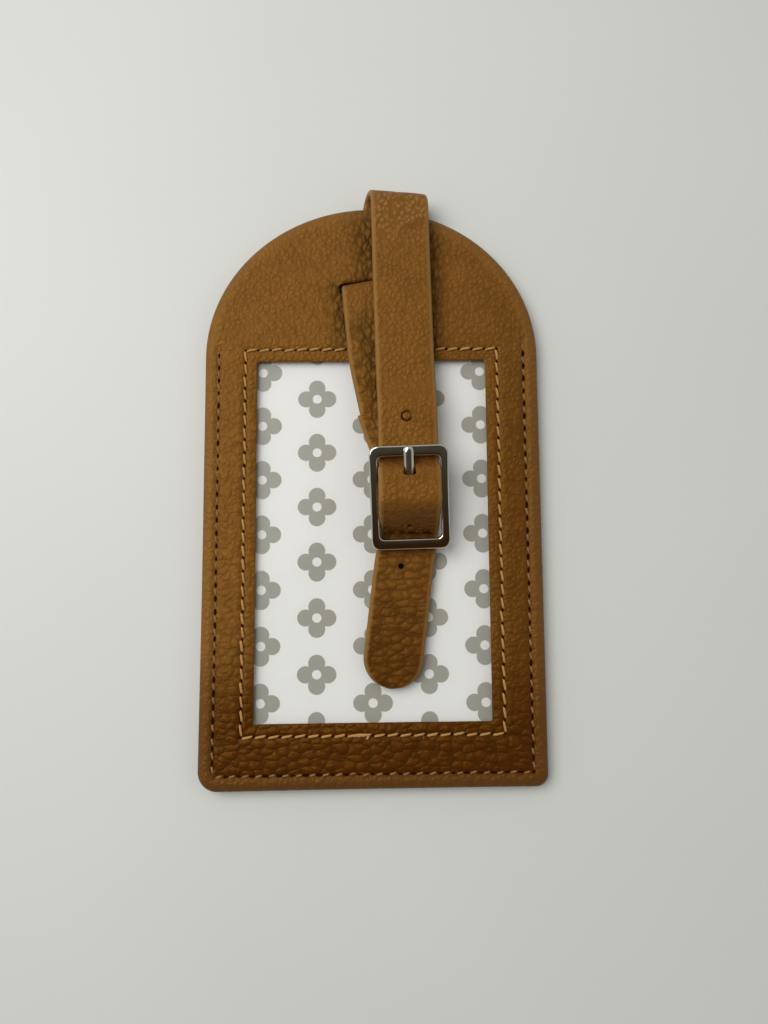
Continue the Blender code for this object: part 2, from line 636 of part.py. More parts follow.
shank_end = inside_half - PIN_CLEARANCE
tenon_end = inside_half + TENON_LENGTH - PIN_CLEARANCE
bar_radius = BAR_DIAMETER / 2
tenon_radius = TENON_DIAMETER / 2
bar_steps = [(-tenon_end, tenon_radius), (-shank_end, tenon_radius), (-shank_end, bar_radius),
             (shank_end, bar_radius), (shank_end, tenon_radius), (tenon_end, tenon_radius)]
add_piece("centre_bar", bar_along_x(bar_steps), DARK_NICKEL, bar_pivot)
socket_end = inside_half + TENON_LENGTH
socket_radius = tenon_radius + PIN_CLEARANCE
sockets = bar_along_x([(-socket_end, socket_radius), (socket_end, socket_radius)])
cut(buckle_frame, add_piece("bar_sockets", sockets, parent=bar_pivot))

ring_inside = bar_radius + PIN_CLEARANCE
prong_top = prong_low + PRONG_THICKNESS
under_angle = math.degrees(math.asin(prong_low / prong_top))
prong_outline = arc((0.0, 0.0), prong_top, 90, 360 + under_angle, 20)
prong_outline += [(PRONG_REACH - PRONG_THICKNESS / 3, prong_low), (PRONG_REACH, prong_middle),
                  (PRONG_REACH - PRONG_THICKNESS / 3, prong_top)]
prong_rings = [[(side * PRONG_WIDTH / 2, y, z) for y, z in prong_outline] for side in (-1, 1)]
prong = add_piece("prong", skin(prong_rings, False), DARK_NICKEL, bar_pivot)
ring_bore = bar_along_x([(-PRONG_WIDTH, ring_inside), (PRONG_WIDTH, ring_inside)])
cut(prong, add_piece("prong_bore", ring_bore, parent=bar_pivot))
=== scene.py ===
"""The looks of a tan leather luggage tag: sewn card pocket, strap and buckle."""
import json
import math

import bmesh
import bpy
import numpy as np
from mathutils import Matrix, Vector


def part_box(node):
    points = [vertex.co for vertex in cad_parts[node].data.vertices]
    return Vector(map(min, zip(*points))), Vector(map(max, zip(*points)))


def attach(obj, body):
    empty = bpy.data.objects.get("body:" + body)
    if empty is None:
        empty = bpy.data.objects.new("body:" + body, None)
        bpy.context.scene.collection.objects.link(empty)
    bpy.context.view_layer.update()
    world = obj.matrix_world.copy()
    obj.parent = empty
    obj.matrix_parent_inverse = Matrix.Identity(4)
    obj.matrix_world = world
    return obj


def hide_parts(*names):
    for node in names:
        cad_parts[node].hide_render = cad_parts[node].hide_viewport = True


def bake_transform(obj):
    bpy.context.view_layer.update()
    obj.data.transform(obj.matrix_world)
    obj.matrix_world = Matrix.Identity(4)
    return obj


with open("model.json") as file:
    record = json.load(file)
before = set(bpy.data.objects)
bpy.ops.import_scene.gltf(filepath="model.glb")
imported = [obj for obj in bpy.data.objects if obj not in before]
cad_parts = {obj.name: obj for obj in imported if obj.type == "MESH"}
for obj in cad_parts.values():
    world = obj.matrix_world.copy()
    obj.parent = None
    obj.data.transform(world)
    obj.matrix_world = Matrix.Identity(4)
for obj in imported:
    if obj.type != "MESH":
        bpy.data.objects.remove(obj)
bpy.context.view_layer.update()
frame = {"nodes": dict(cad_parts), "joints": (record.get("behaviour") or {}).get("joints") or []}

MM = 0.001
scene = bpy.context.scene
scene.view_settings.view_transform = 'Standard'

# Camera
# A phone held over the tag, a hand's width above it and tipped a little towards the arched
# end. The picture's scale, place and tilt were fitted to the body and the window.
BODY_LOW, BODY_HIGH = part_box("front_panel")
BODY_MIDDLE_HEIGHT = BODY_HIGH.z / 2
FOCAL_PIXELS = 769.0
PICTURE_HEIGHT = 1024.0
SENSOR = 24.0
NEAR_CLIP = 0.005
EYE = Vector((2.69 * MM, BODY_LOW.y + 38.62 * MM, BODY_MIDDLE_HEIGHT + 159.33 * MM))
LOOK = Vector((-0.00122, 0.10475, -0.99450))
PICTURE_UP = Vector((0.00732, 0.99447, 0.10474))

camera_data = bpy.data.cameras.new("phone_camera")
camera_data.sensor_fit = 'VERTICAL'
camera_data.sensor_height = SENSOR
camera_data.lens = SENSOR * FOCAL_PIXELS / PICTURE_HEIGHT
camera_data.clip_start = NEAR_CLIP
camera = bpy.data.objects.new("phone_camera", camera_data)
across = LOOK.cross(PICTURE_UP).normalized()
upward = across.cross(LOOK).normalized()
camera_axes = Matrix((across, upward, -LOOK.normalized())).transposed()
camera.matrix_world = Matrix.Translation(EYE) @ camera_axes.to_4x4()
scene.collection.objects.link(camera)
scene.camera = camera

# Light
# A wide window up and to the left, and a pale room. A patch of dark cloth overhead and a
# shaded near side show only in the polished buckle.
KEY_PLACE = Vector((-0.24, 0.13, 0.46))
KEY_SIZE = 0.46
KEY_POWER = 1.95
KEY_COLOUR = (1.0, 0.985, 0.955)
ROOM_STRENGTH = 0.55
ROOM_PALE = (0.97, 0.99, 1.0, 1.0)
CLOTH_BROWN = (0.070, 0.028, 0.008, 1.0)
CLOTH_GREY = (0.125, 0.127, 0.092, 1.0)
CLOTH_WAY = (-0.342, 0.940)
CLOTH_EDGE = (0.74, 0.89)
CLOTH_CHANGE = (-0.37, -0.19)
NEAR_SIDE_SHADE = 0.75
NEAR_SIDE_SOUTH = (0.45, 0.95)
NEAR_SIDE_UP = (0.12, 0.38)


class Value:
    """A number or vector from a shader socket; arithmetic on it adds Math nodes."""

    def __init__(self, finish, socket):
        self.finish = finish
        self.socket = socket

    def math(self, operation, *others):
        """This value and others through one Math node."""
        return self.finish.node('ShaderNodeMath', {'operation': operation}, [self, *others])

    def __add__(self, other):
        return self.math('ADD', other)

    __radd__ = __add__

    def __sub__(self, other):
        return self.math('SUBTRACT', other)

    def __rsub__(self, other):
        return self.finish.node('ShaderNodeMath', {'operation': 'SUBTRACT'}, [other, self])

    def __mul__(self, other):
        return self.math('MULTIPLY', other)

    __rmul__ = __mul__

    def __truediv__(self, other):
        return self.math('DIVIDE', other)

    def __abs__(self):
        return self.math('ABSOLUTE')

    def smooth(self, low, high):
        """0 below low, 1 above high, and a soft step between."""
        settings = {'interpolation_type': 'SMOOTHSTEP'}
        inputs = {'Value': self, 'From Min': low, 'From Max': high}
        return self.finish.node('ShaderNodeMapRange', settings, inputs)


class Finish:
    """The nodes of a material or world, added one call at a time round its one shader."""

    def __init__(self, owner, shader="Principled BSDF"):
        owner.use_nodes = True
        self.owner = owner
        self.tree = owner.node_tree
        self.shader = self.tree.nodes[shader]

    def node(self, kind, settings=None, inputs=None, output=0):
        """Add a node, set it up, feed its sockets by name or in order, and give one output."""
        made = self.tree.nodes.new(kind)
        for name, value in (settings or {}).items():
            setattr(made, name, value)
        named = inputs.items() if isinstance(inputs, dict) else enumerate(inputs or [])
        for name, value in named:
            self.feed(made.inputs[name], value)
        return Value(self, made.outputs[output])

    def feed(self, socket, value):
        """Link a value to a socket, or set the socket to a plain number or colour."""
        if isinstance(value, Value):
            self.tree.links.new(value.socket, socket)
        else:
            socket.default_value = value

    def set(self, **sockets):
        """Feed the shader; an underscore stands for a space."""
        for name, value in sockets.items():
            self.feed(self.shader.inputs[name.replace('_', ' ')], value)

    def place(self):
        """The point on the piece, in metres from the part's origin."""
        return self.node('ShaderNodeTexCoord', output='Object')

    def mark(self, name):
        """A number painted on the piece's points; 0 where there is none."""
        return self.node('ShaderNodeAttribute', {'attribute_name': name}, None, 'Fac')

    def axes(self, point):
        """The three coordinates of a point."""
        return [self.node('ShaderNodeSeparateXYZ', None, [point], axis) for axis in range(3)]

    def scaled(self, point, x, y, z):
        """A point with each coordinate multiplied."""
        return self.node('ShaderNodeVectorMath', {'operation': 'MULTIPLY'}, [point, (x, y, z)])

    def noise(self, point, size, detail=2.0, output='Fac'):
        """Cloudy noise from 0 to 1, with lumps of about one size in metres."""
        inputs = {'Vector': point, 'Scale': 1.0 / size, 'Detail': detail}
        return self.node('ShaderNodeTexNoise', None, inputs, output)

    def mix(self, factor, first, second):
        """A colour between two colours."""
        settings = {'data_type': 'RGBA', 'clamp_factor': True}
        return self.node('ShaderNodeMix', settings, {0: factor, 6: first, 7: second}, 2)

    def bump(self, height, distance):
        """Raise the surface by a height from 0 to 1 times a distance in metres."""
        return self.node('ShaderNodeBump', None, {'Height': height, 'Distance': distance})


key_data = bpy.data.lights.new("window_light", 'AREA')
key_data.shape = 'DISK'
key_data.size = KEY_SIZE
key_data.energy = KEY_POWER
key_data.color = KEY_COLOUR
key = bpy.data.objects.new("window_light", key_data)
key.location = KEY_PLACE
key.rotation_euler = KEY_PLACE.to_track_quat('Z', 'Y').to_euler()
scene.collection.objects.link(key)

scene.world = bpy.data.worlds.new("room")
room = Finish(scene.world, "Background")
_, room_north, room_up = room.axes(room.node('ShaderNodeTexCoord', output='Generated'))
overhead = (room_north * CLOTH_WAY[0] + room_up * CLOTH_WAY[1]).smooth(*CLOTH_EDGE)
cloth = room.mix(room_north.smooth(*CLOTH_CHANGE), CLOTH_BROWN, CLOTH_GREY)
south = (0 - room_north).smooth(*NEAR_SIDE_SOUTH)
near_side = 1 - NEAR_SIDE_SHADE * south * room_up.smooth(*NEAR_SIDE_UP)
room.set(Color=room.mix(overhead, ROOM_PALE, cloth), Strength=ROOM_STRENGTH * near_side)

# Table
# A smooth pale grey desk top, with a faint mottle and a fine grain. The tag lies flat
# on it.
TABLE_COLOUR = (0.74, 0.75, 0.71, 1.0)
TABLE_SHADE = (0.68, 0.69, 0.655, 1.0)
TABLE_HALF = 0.6
TABLE_MOTTLE = 90 * MM
TABLE_GRAIN = 1.2 * MM
TABLE_RELIEF = 0.03 * MM


def new_piece(name, points, faces):
    """A mesh object from an array of points and a list of faces, put into the scene."""
    mesh = bpy.data.meshes.new(name)
    mesh.from_pydata(points.reshape(-1, 3).tolist(), [], faces)
    made = bpy.data.objects.new(name, mesh)
    scene.collection.objects.link(made)
    return made


def dress(piece, material):
    """Give a piece one material and no other."""
    piece.data.materials.clear()
    piece.data.materials.append(material)


corners = TABLE_HALF * np.array([(-1, -1, 0), (1, -1, 0), (1, 1, 0), (-1, 1, 0)])
table = new_piece("table", corners, [(0, 1, 2, 3)])
desk = Finish(bpy.data.materials.new("desk_top"))
mottle = desk.noise(desk.place(), TABLE_MOTTLE, 3.0)
desk.set(Base_Color=desk.mix(mottle, TABLE_SHADE, TABLE_COLOUR), Roughness=0.55)
desk.set(Normal=desk.bump(desk.noise(desk.place(), TABLE_GRAIN), TABLE_RELIEF))
dress(table, desk.owner)

# Face
# The arched front of the pocket: one piece of pebbled tan leather with its edge rolled
# over, a window cut in it, a slit for the strap, and the seams pressed into its surface.
BODY_HALF = (BODY_HIGH.x - BODY_LOW.x) / 2
BODY_END = BODY_HIGH.y
BOTTOM = BODY_LOW.y
ARCH_HEIGHT = 32.6 * MM
SHOULDER = BODY_END - ARCH_HEIGHT
CORNER = 4.0 * MM
RIGHT_CORNER = 2.6 * MM
ROLL_WIDTH = 1.9 * MM
FACE_TOP = BODY_HIGH.z
FACE_LOW = BODY_LOW.z
ROLL_HEIGHT = 0.92 * (FACE_TOP - FACE_LOW)
FILM_LOW, FILM_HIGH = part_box("window_film")
FILM_LAP = 5.0 * MM
WINDOW = np.array([[FILM_LOW.x + FILM_LAP, FILM_LOW.y + FILM_LAP],
                   [FILM_HIGH.x - FILM_LAP, FILM_HIGH.y - FILM_LAP]])
WINDOW_MIDDLE = WINDOW.mean(axis=0)
WINDOW_CORNER = 0.5 * MM
WINDOW_ROLL = (0.4 * MM, 0.2 * MM)
WINDOW_SINK = 0.45 * MM
SEAM_DEPTH = 0.30 * MM
SEAM_SPREAD = 0.62 * MM
WINDOW_SEAM = 2.45 * MM
EDGE_SEAM = 3.0 * MM
EDGE_SEAM_END = BOTTOM + 91.3 * MM
SEAM_FADE = 0.4 * MM
SLOT_MIDDLE = np.array((-0.2 * MM, BODY_END - 17.0 * MM))
SETTLE_START = -15 * MM
SETTLE_LENGTH = 47 * MM
SETTLE_SIDE = 0.25 * MM
SETTLE_DROP = 0.75 * MM
OUTLINE_STEP = 0.1 * MM
LATTICE = 63


def bell(distance, spread):
    """1 at no distance, falling off both ways: e to the minus square of distance over spread."""
    return np.exp(-(distance / spread) ** 2)


def fade(distance, spread):
    """1 well below zero, 0 well above it and half at zero: a logistic step."""
    return 1 / (1 + np.exp(distance / spread))


def lattice_noise(x, y, size, seed):
    """Smooth noise from -1 to 1: random values on a square lattice, blended by eased distances."""
    values = np.random.default_rng(seed).uniform(-1, 1, (LATTICE + 1, LATTICE + 1))
    u, v = np.asarray(x) / size + LATTICE // 2, np.asarray(y) / size + LATTICE // 2
    i, j = np.floor(u).astype(int), np.floor(v).astype(int)
    a, b = u - i, v - j
    a, b = a * a * (3 - 2 * a), b * b * (3 - 2 * b)
    i, j = i % LATTICE, j % LATTICE
    low = values[i, j] * (1 - a) + values[i + 1, j] * a
    high = values[i, j + 1] * (1 - a) + values[i + 1, j + 1] * a
    return low * (1 - b) + high * b


def uneven(x, y, *layers):
    """A sum of noise layers, each given by its height, size and seed."""
    return sum(height * lattice_noise(x, y, size, seed) for height, size, seed in layers)


def grid_mesh(name, points, loop=False, turn=None, smooth=True):
    """Closed rings joined side by side, from an array (ring, point, 3) or one such for each of many tubes.

    The rings meet in a loop or end in flat caps. A matrix may turn the mesh, and its faces point outwards.
    """
    index = np.arange(points.size // 3).reshape(points.shape[:-1])
    ends = [index[..., 0, ::-1], index[..., -1, :]]
    index = np.concatenate([index, index[..., :1]], axis=-1)
    if loop:
        index = np.concatenate([index, index[..., :1, :]], axis=-2)
        ends = []
    near, far = index[..., :-1, :], index[..., 1:, :]
    quads = np.stack([near[..., :-1], near[..., 1:], far[..., 1:], far[..., :-1]], axis=-1)
    faces = quads.reshape(-1, 4).tolist()
    for caps in ends:
        faces += caps.reshape(-1, points.shape[-2]).tolist()
    made = new_piece(name, points, faces)
    if smooth:
        made.data.shade_smooth()
    if turn is not None:
        made.data.transform(turn)
    bm = bmesh.new()
    bm.from_mesh(made.data)
    bmesh.ops.recalc_face_normals(bm, faces=bm.faces)
    bm.to_mesh(made.data)
    bm.free()
    return made


def corner_arc(centre, radius, start, end, count):
    """Points on an arc, its angles in degrees."""
    angle = np.radians(np.linspace(start, end, count))
    return np.column_stack([centre[0] + radius * np.cos(angle), centre[1] + radius * np.sin(angle)])


def run_length(points):
    """How far along a line each of its points lies."""
    return np.concatenate([[0], np.cumsum(np.linalg.norm(np.diff(points, axis=0), axis=1))])


def along_outline(outline, step):
    """Points at an even step round a closed outline."""
    closed = np.concatenate([outline, outline[:1]])
    length = run_length(closed)
    even = np.linspace(0, length[-1], round(length[-1] / step), endpoint=False)
    return np.column_stack([np.interp(even, length, closed[:, 0]), np.interp(even, length, closed[:, 1])])


def tag_outline(inset=0.0, top=None):
    """The body's edge: round bottom corners, straight sides and a half ellipse, or a level top."""
    half, radius, sharper = BODY_HALF - inset, CORNER - inset, RIGHT_CORNER - inset
    left = corner_arc((-half + radius, BOTTOM + inset + radius), radius, 180, 270, 40)
    right = corner_arc((half - sharper, BOTTOM + inset + sharper), sharper, 270, 360, 40)
    if top is None:
        angle = np.linspace(0, np.pi, 400)
        crown = np.column_stack([half * np.cos(angle), SHOULDER + (ARCH_HEIGHT - inset) * np.sin(angle)])
    else:
        crown = np.concatenate([corner_arc((half - radius, top - radius), radius, 0, 90, 40),
                                corner_arc((-half + radius, top - radius), radius, 90, 180, 40)])
    return along_outline(np.concatenate([left, right, crown]), OUTLINE_STEP)


def rectangle_ring(low, high, radius, step):
    """Points at an even step round a rectangle with small round corners."""
    (x0, y0), (x1, y1) = low, high
    ring = []
    for centre, start in (((x0 + radius, y0 + radius), 180), ((x1 - radius, y0 + radius), 270),
                          ((x1 - radius, y1 - radius), 0), ((x0 + radius, y1 - radius), 90)):
        ring.append(corner_arc(centre, radius, start, start + 90, 5))
    filled = []
    for arc_points, following in zip(ring, ring[1:] + ring[:1]):
        count = max(2, round(float(np.linalg.norm(following[0] - arc_points[-1])) / step))
        share = np.linspace(0, 1, count, endpoint=False)[1:, None]
        filled += [arc_points, arc_points[-1] + (following[0] - arc_points[-1]) * share]
    return np.concatenate(filled)


def cast_out(ring, centre, outline):
    """Where rays from a centre through a ring's points meet an outline round it."""
    away = outline - centre
    turn = np.arctan2(away[:, 1], away[:, 0])
    order = np.argsort(turn)
    rays = ring - centre
    angle = np.arctan2(rays[:, 1], rays[:, 0])
    reach = np.interp(angle, turn[order], np.linalg.norm(away, axis=1)[order], period=2 * np.pi)
    return centre + np.column_stack([np.cos(angle), np.sin(angle)]) * reach[:, None]


def edge_distance(x, y):
    """How far a point of the face lies inside the body's edge."""
    radius = np.where(x > 0, RIGHT_CORNER, CORNER)
    side = np.abs(x) - (BODY_HALF - radius)
    foot = BOTTOM + radius - y
    corner = radius - np.hypot(np.maximum(side, 0), np.maximum(foot, 0))
    straight = np.minimum(BODY_HALF - np.abs(x), y - BOTTOM)
    low = np.where((side > 0) & (foot > 0), corner, straight)
    rise = np.maximum(y - SHOULDER, 0)
    share = np.sqrt((x / BODY_HALF) ** 2 + (rise / ARCH_HEIGHT) ** 2) + 1e-9
    slope = np.sqrt(x ** 2 / BODY_HALF ** 4 + rise ** 2 / ARCH_HEIGHT ** 4) / share + 1e-9
    return np.where(y > SHOULDER, (1 - share) / slope, low)


def window_distance(x, y):
    """How far a point of the face lies outside the window's edge."""
    over = np.maximum(np.maximum(WINDOW[0, 0] - x, x - WINDOW[1, 0]), 0)
    above = np.maximum(np.maximum(WINDOW[0, 1] - y, y - WINDOW[1, 1]), 0)
    return np.maximum(over, above)


def rolled(distance, width, height):
    """How far a rolled edge has dropped at a distance from its rim: a quarter of an ellipse."""
    share = np.clip(1 - distance / width, 0, 1)
    return height * (1 - np.sqrt(1 - share ** 2))


def face_height(x, y):
    """The face's upper surface: rolled rims, pressed seams, and a soft unevenness."""
    rim, hole = edge_distance(x, y), window_distance(x, y)
    height = FACE_TOP - rolled(rim, ROLL_WIDTH, ROLL_HEIGHT) - rolled(hole, *WINDOW_ROLL)
    height -= WINDOW_SINK * np.clip(1 - hole / WINDOW_SEAM, 0, 1)
    height -= SEAM_DEPTH * bell(hole - WINDOW_SEAM, SEAM_SPREAD)
    height -= fade(y - EDGE_SEAM_END, SEAM_FADE) * SEAM_DEPTH * bell(rim - EDGE_SEAM, SEAM_SPREAD)
    inside = np.clip((rim - ROLL_WIDTH) / (2 * MM), 0, 1)
    waves = uneven(x, y, (0.05, 7 * MM, 3), (0.03, 3 * MM, 4))
    return height + inside * MM * (waves - 0.06)


def paint(piece, name, values):
    """Keep a number at each point of a piece for its material to read."""
    mark = piece.data.attributes.new(name, 'FLOAT', 'POINT')
    mark.data.foreach_set("value", np.asarray(values, dtype=np.float32).ravel())


def points_of(piece):
    """A piece's points as one array."""
    points = np.empty(3 * len(piece.data.vertices))
    piece.data.vertices.foreach_get("co", points)
    return points.reshape(-1, 3)


def settle(piece):
    """Drop the closed end's left corner a little, as the sewn leather has crept there."""
    x, y, z = points_of(piece).T
    left = np.clip((BODY_HALF - x) / (2 * BODY_HALF), 0, 1) ** 1.5
    low = np.clip((SETTLE_START - y) / SETTLE_LENGTH, 0, 1.1) ** 1.5
    moved = np.column_stack([x - SETTLE_SIDE * left * low, y - SETTLE_DROP * left * low, z])
    piece.data.vertices.foreach_set("co", moved.ravel())


def raised(flat, height):
    """Flat points with a height each as their third coordinate."""
    height = np.broadcast_to(height, flat.shape[:-1])
    return np.concatenate([flat, height[..., None]], axis=-1)


def sheet_ring(name, inner, outer, top_height, low, across_count):
    """A closed sheet between two outlines: a top that follows a height, walls and a flat underside."""
    share = 0.5 - 0.5 * np.cos(np.linspace(0, np.pi, across_count))
    flat = inner[:, None] + (outer - inner)[:, None] * share[None, :, None]
    top = raised(flat, top_height(flat[..., 0], flat[..., 1]))
    under = raised(flat[:, ::-1][:, ::max(1, across_count // 12)], low)
    return grid_mesh(name, np.concatenate([top, under], axis=1), loop=True)


def cut_away(piece, cutter):
    """Take a cutter out of a piece for good and drop the cutter."""
    modifier = piece.modifiers.new("cut", 'BOOLEAN')
    modifier.solver = 'EXACT'
    modifier.object = cutter
    bpy.context.view_layer.update()
    evaluated = piece.evaluated_get(bpy.context.evaluated_depsgraph_get())
    mesh = bpy.data.meshes.new_from_object(evaluated)
    piece.modifiers.clear()
    piece.data = mesh
    bpy.data.objects.remove(cutter)
    return piece


def prism(name, outline, low, high, turn):
    """A closed prism over an outline, turned and placed by a matrix."""
    return grid_mesh(name, np.stack([raised(outline, low), raised(outline, high)]), turn=turn)


LEATHER_LIGHT = (0.230, 0.0920, 0.0160, 1.0)
LEATHER_PALE_TOP = (0.400, 0.215, 0.075, 1.0)
LEATHER_PAINTED_SHADE = (0.088, 0.0200, 0.0004, 1.0)
LEATHER_EDGE = (0.265, 0.140, 0.046, 1.0)
LEATHER_HOLLOW_SHADE = (0.012, 0.003, 0.0004, 1.0)
LEATHER_SHEEN = (1.0, 0.54, 0.12, 1.0)
CREASE_SHADE = 0.46
DOME_SHARE = 0.66
PORE = 0.20 * MM
DYE_CLOUD = 5 * MM
RIGHT_SHADE_RAMP = (8 * MM, 30 * MM)


def pebbles(hide, point, size, wide, tall, valley):
    """Domed grain cells, stretched two ways: high at each cell's middle, low in the valleys between."""
    spread = hide.scaled(point, 1 / wide, 1 / tall, 1)
    grain = {'Vector': spread, 'Scale': 1 / size, 'Randomness': 0.9}
    near = hide.node('ShaderNodeTexVoronoi', {'feature': 'F1'}, grain, 'Distance')
    far = hide.node('ShaderNodeTexVoronoi', {'feature': 'F2'}, grain, 'Distance')
    return (1 - near.smooth(0.05, 0.92)) * DOME_SHARE + (far - near).smooth(0.0, valley) * (1 - DOME_SHARE)


def pebbled_leather(name, pebble, relief, stretch=1.35, low_end_shade=(31 * MM, 50 * MM)):
    """Tan coated leather: soft pebbles, larger where marked coarse, drawn tall where strained, and darker
    there with painted shade.

    Fine pores roughen it, and painted shade darkens its hollows, its right side and its low end.
    """
    hide = Finish(bpy.data.materials.new(name))
    point = hide.place()
    coarse, strain = hide.mark("coarse"), hide.mark("strain")
    rim, worn = hide.mark("painted_edge"), hide.mark("worn")
    drift = hide.scaled(hide.noise(point, 1.4 * pebble, output='Color'), pebble, pebble, pebble)
    bent = hide.node('ShaderNodeVectorMath', {'operation': 'ADD'}, [point, drift])
    small = pebbles(hide, bent, pebble, wide=1.0, tall=1.0, valley=0.60)
    wide = pebbles(hide, bent, 1.45 * pebble, wide=stretch, tall=1.0, valley=0.45)
    tall = pebbles(hide, bent, 1.1 * pebble, wide=1.0, tall=1.6, valley=0.65)
    large = wide + (tall - wide) * strain.smooth(0.15, 0.5)
    fine = 1 - coarse
    crease = hide.noise(hide.scaled(bent, 0.55, 1.0, 1.0), 1.9 * pebble, 3.0)
    crease = (1 - abs(crease - 0.5) * 9.0).smooth(0.0, 1.0)
    pore = hide.noise(point, PORE)
    x, y, _ = hide.axes(point)
    # Painted shade: the colour darkens towards the right and towards the low end, where less light falls.
    right_shade = x.smooth(*RIGHT_SHADE_RAMP) * (0.20 + 0.37 * (0 - y).smooth(-42 * MM, 0))
    painted_shade = right_shade + (0 - y).smooth(*low_end_shade) * (1 - right_shade)
    dye_and_shade = hide.mix(painted_shade, LEATHER_LIGHT, LEATHER_PAINTED_SHADE)
    cloud = hide.noise(point, DYE_CLOUD, 4.0).smooth(0.28, 0.72)
    # Painted shade in the grain's valleys and creases, and on the strained places beside the strap.
    hollow_shade = (1 - small) * fine * 0.45 + crease * fine * 0.08
    hollow_shade = hollow_shade + (1 - large) * (coarse + 0.5 * strain) + strain * 0.55
    shade = CREASE_SHADE * hollow_shade + 0.13 * cloud + 0.08 * pore
    # Pebble tops are made lighter where marked.
    dye_and_shade = hide.mix(worn * small.smooth(0.15, 0.75) * 0.45, dye_and_shade, LEATHER_PALE_TOP)
    # Edges: the strap's painted edges and the window's cut edge keep their own lighter colour; on the face's
    # rolled rim the lightening is a painted highlight.
    colour = hide.mix(rim * 0.75, hide.mix(shade, dye_and_shade, LEATHER_HOLLOW_SHADE), LEATHER_EDGE)
    height = small * (0.12 + 0.58 * fine + 0.2 * worn) + large * coarse * 0.90
    height = (height + pore * 0.10 - crease * fine * 0.06) * (1 - rim * 0.8)
    hide.set(Base_Color=colour, Roughness=0.38 + 0.16 * pore, Normal=hide.bump(height, relief))
    hide.set(Specular_IOR_Level=0.45, Specular_Tint=LEATHER_SHEEN)
    return hide.owner


SLIT_LENGTH = 13.0 * MM
SLIT_WIDTH = 2.1 * MM
SLIT_FLARE = 0.42 * MM
SLIT_SQUARENESS = 0.4
SLIT_TILT = math.radians(9.0)
SLIT_DROP = 0.1 * MM
LOW_RAIL_FADE = 2.0 * MM
SIDE_RAIL_FADE = 6.0 * MM
STRAP_LEFT = -0.2 * MM
STRAP_RIGHT = 13.6 * MM
UNDER_STRAP_LEFT = -6.6 * MM
UNDER_STRAP_LEAN = 0.11
LEFT_CREASES = 4.2 * MM
RIGHT_CREASES = 2.3 * MM
UNDER_CREASES = 2.8 * MM
FACE_STEP = 0.36 * MM
FACE_ACROSS = 60


def full_turn(count):
    """Even angles once round."""
    return np.linspace(0, 2 * np.pi, count, endpoint=False)


def slit_outline():
    """A superellipse, almost a box, whose half width grows with the square of the way to its ends."""
    angle = full_turn(72)
    waves = np.array((np.cos(angle), np.sin(angle)))
    along, across_slit = np.sign(waves) * np.abs(waves) ** SLIT_SQUARENESS
    opening = SLIT_WIDTH / 2 + SLIT_FLARE * along ** 2
    return np.column_stack([SLIT_LENGTH / 2 * along, opening * across_slit])


window_ring = rectangle_ring(WINDOW[0], WINDOW[1], WINDOW_CORNER, FACE_STEP)
body_ring = cast_out(window_ring, WINDOW_MIDDLE, tag_outline())
face = sheet_ring("face_leather", window_ring, body_ring, face_height, FACE_LOW, FACE_ACROSS)
slit = slit_outline()
slit_place = Matrix.Translation((SLOT_MIDDLE[0], SLOT_MIDDLE[1] - SLIT_DROP, 0))
slit_turn = slit_place @ Matrix.Rotation(SLIT_TILT, 4, 'Z')
face = cut_away(face, prism("slit", slit, 0, 3 * FACE_TOP, slit_turn))
face_x, face_y, _ = points_of(face).T
# The window's cut edge is lighter leather of its own; the rolled rim's lightening is a painted highlight.
cut_edge = 0.5 * (window_distance(face_x, face_y) < 0.05 * MM)
rolled_rim = np.clip((EDGE_SEAM - edge_distance(face_x, face_y)) / (1.0 * MM), 0, 1)
paint(face, "painted_edge", cut_edge + 0.30 * rolled_rim)
low_rail = fade(face_y - WINDOW[0, 1], LOW_RAIL_FADE)
side_rails = np.where(face_x < 0, 0.6, 0.3) * fade(face_y - 0.5 * SHOULDER, SIDE_RAIL_FADE)
patches = 0.25 * lattice_noise(face_x, face_y, 9 * MM, 21)
# Strained places beside the strap: real creases drawn tall, darkened with painted shade where the strap
# shades the face.
under_edge = UNDER_STRAP_LEFT + UNDER_STRAP_LEAN * (SLOT_MIDDLE[1] - face_y)
beside = bell(face_x - under_edge, UNDER_CREASES) * (face_y < SLOT_MIDDLE[1])
beside += bell(face_x - STRAP_RIGHT, RIGHT_CREASES)
beside += bell(face_x - STRAP_LEFT, LEFT_CREASES) * (face_y > SLOT_MIDDLE[1])
strain_shade_zones = np.clip(beside * fade(WINDOW[1, 1] + 2.0 * MM - face_y, 1.2 * MM), 0, 1)
paint(face, "strain", 0.8 * strain_shade_zones)
coarse_share = np.clip(0.95 * low_rail + side_rails + patches + strain_shade_zones, 0.05, 1)
paint(face, "coarse", coarse_share * (1 - rolled_rim))
settle(face)
dress(face, pebbled_leather("face_hide", pebble=1.08 * MM, relief=0.23 * MM, stretch=1.5))
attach(face, "tag")
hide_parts("front_panel")

# Lining
# A thin smooth leather behind the face, set back a little from the window. The film is
# sewn between the two, and the edge seam holds it to the face.
LINING_LOW, LINING_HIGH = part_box("front_lining")
LINING_SETBACK = 1.0 * MM
LINING_INSET = 0.15 * MM
LINING_ROLL = (0.35 * MM, 0.3 * MM)
LINING_STEP = 0.8 * MM
LINING_ACROSS = 40
FILM_SLACK = 0.2 * MM
FILM_GAP = 0.04 * MM


def lining_height(x, y):
    """A flat top with a softened rim, let in under the film."""
    under_film = window_distance(x, y) < FILM_LAP + FILM_SLACK
    flat = LINING_HIGH.z - rolled(edge_distance(x, y), *LINING_ROLL)
    return np.where(under_film, np.minimum(flat, FILM_LOW.z - FILM_GAP), flat)


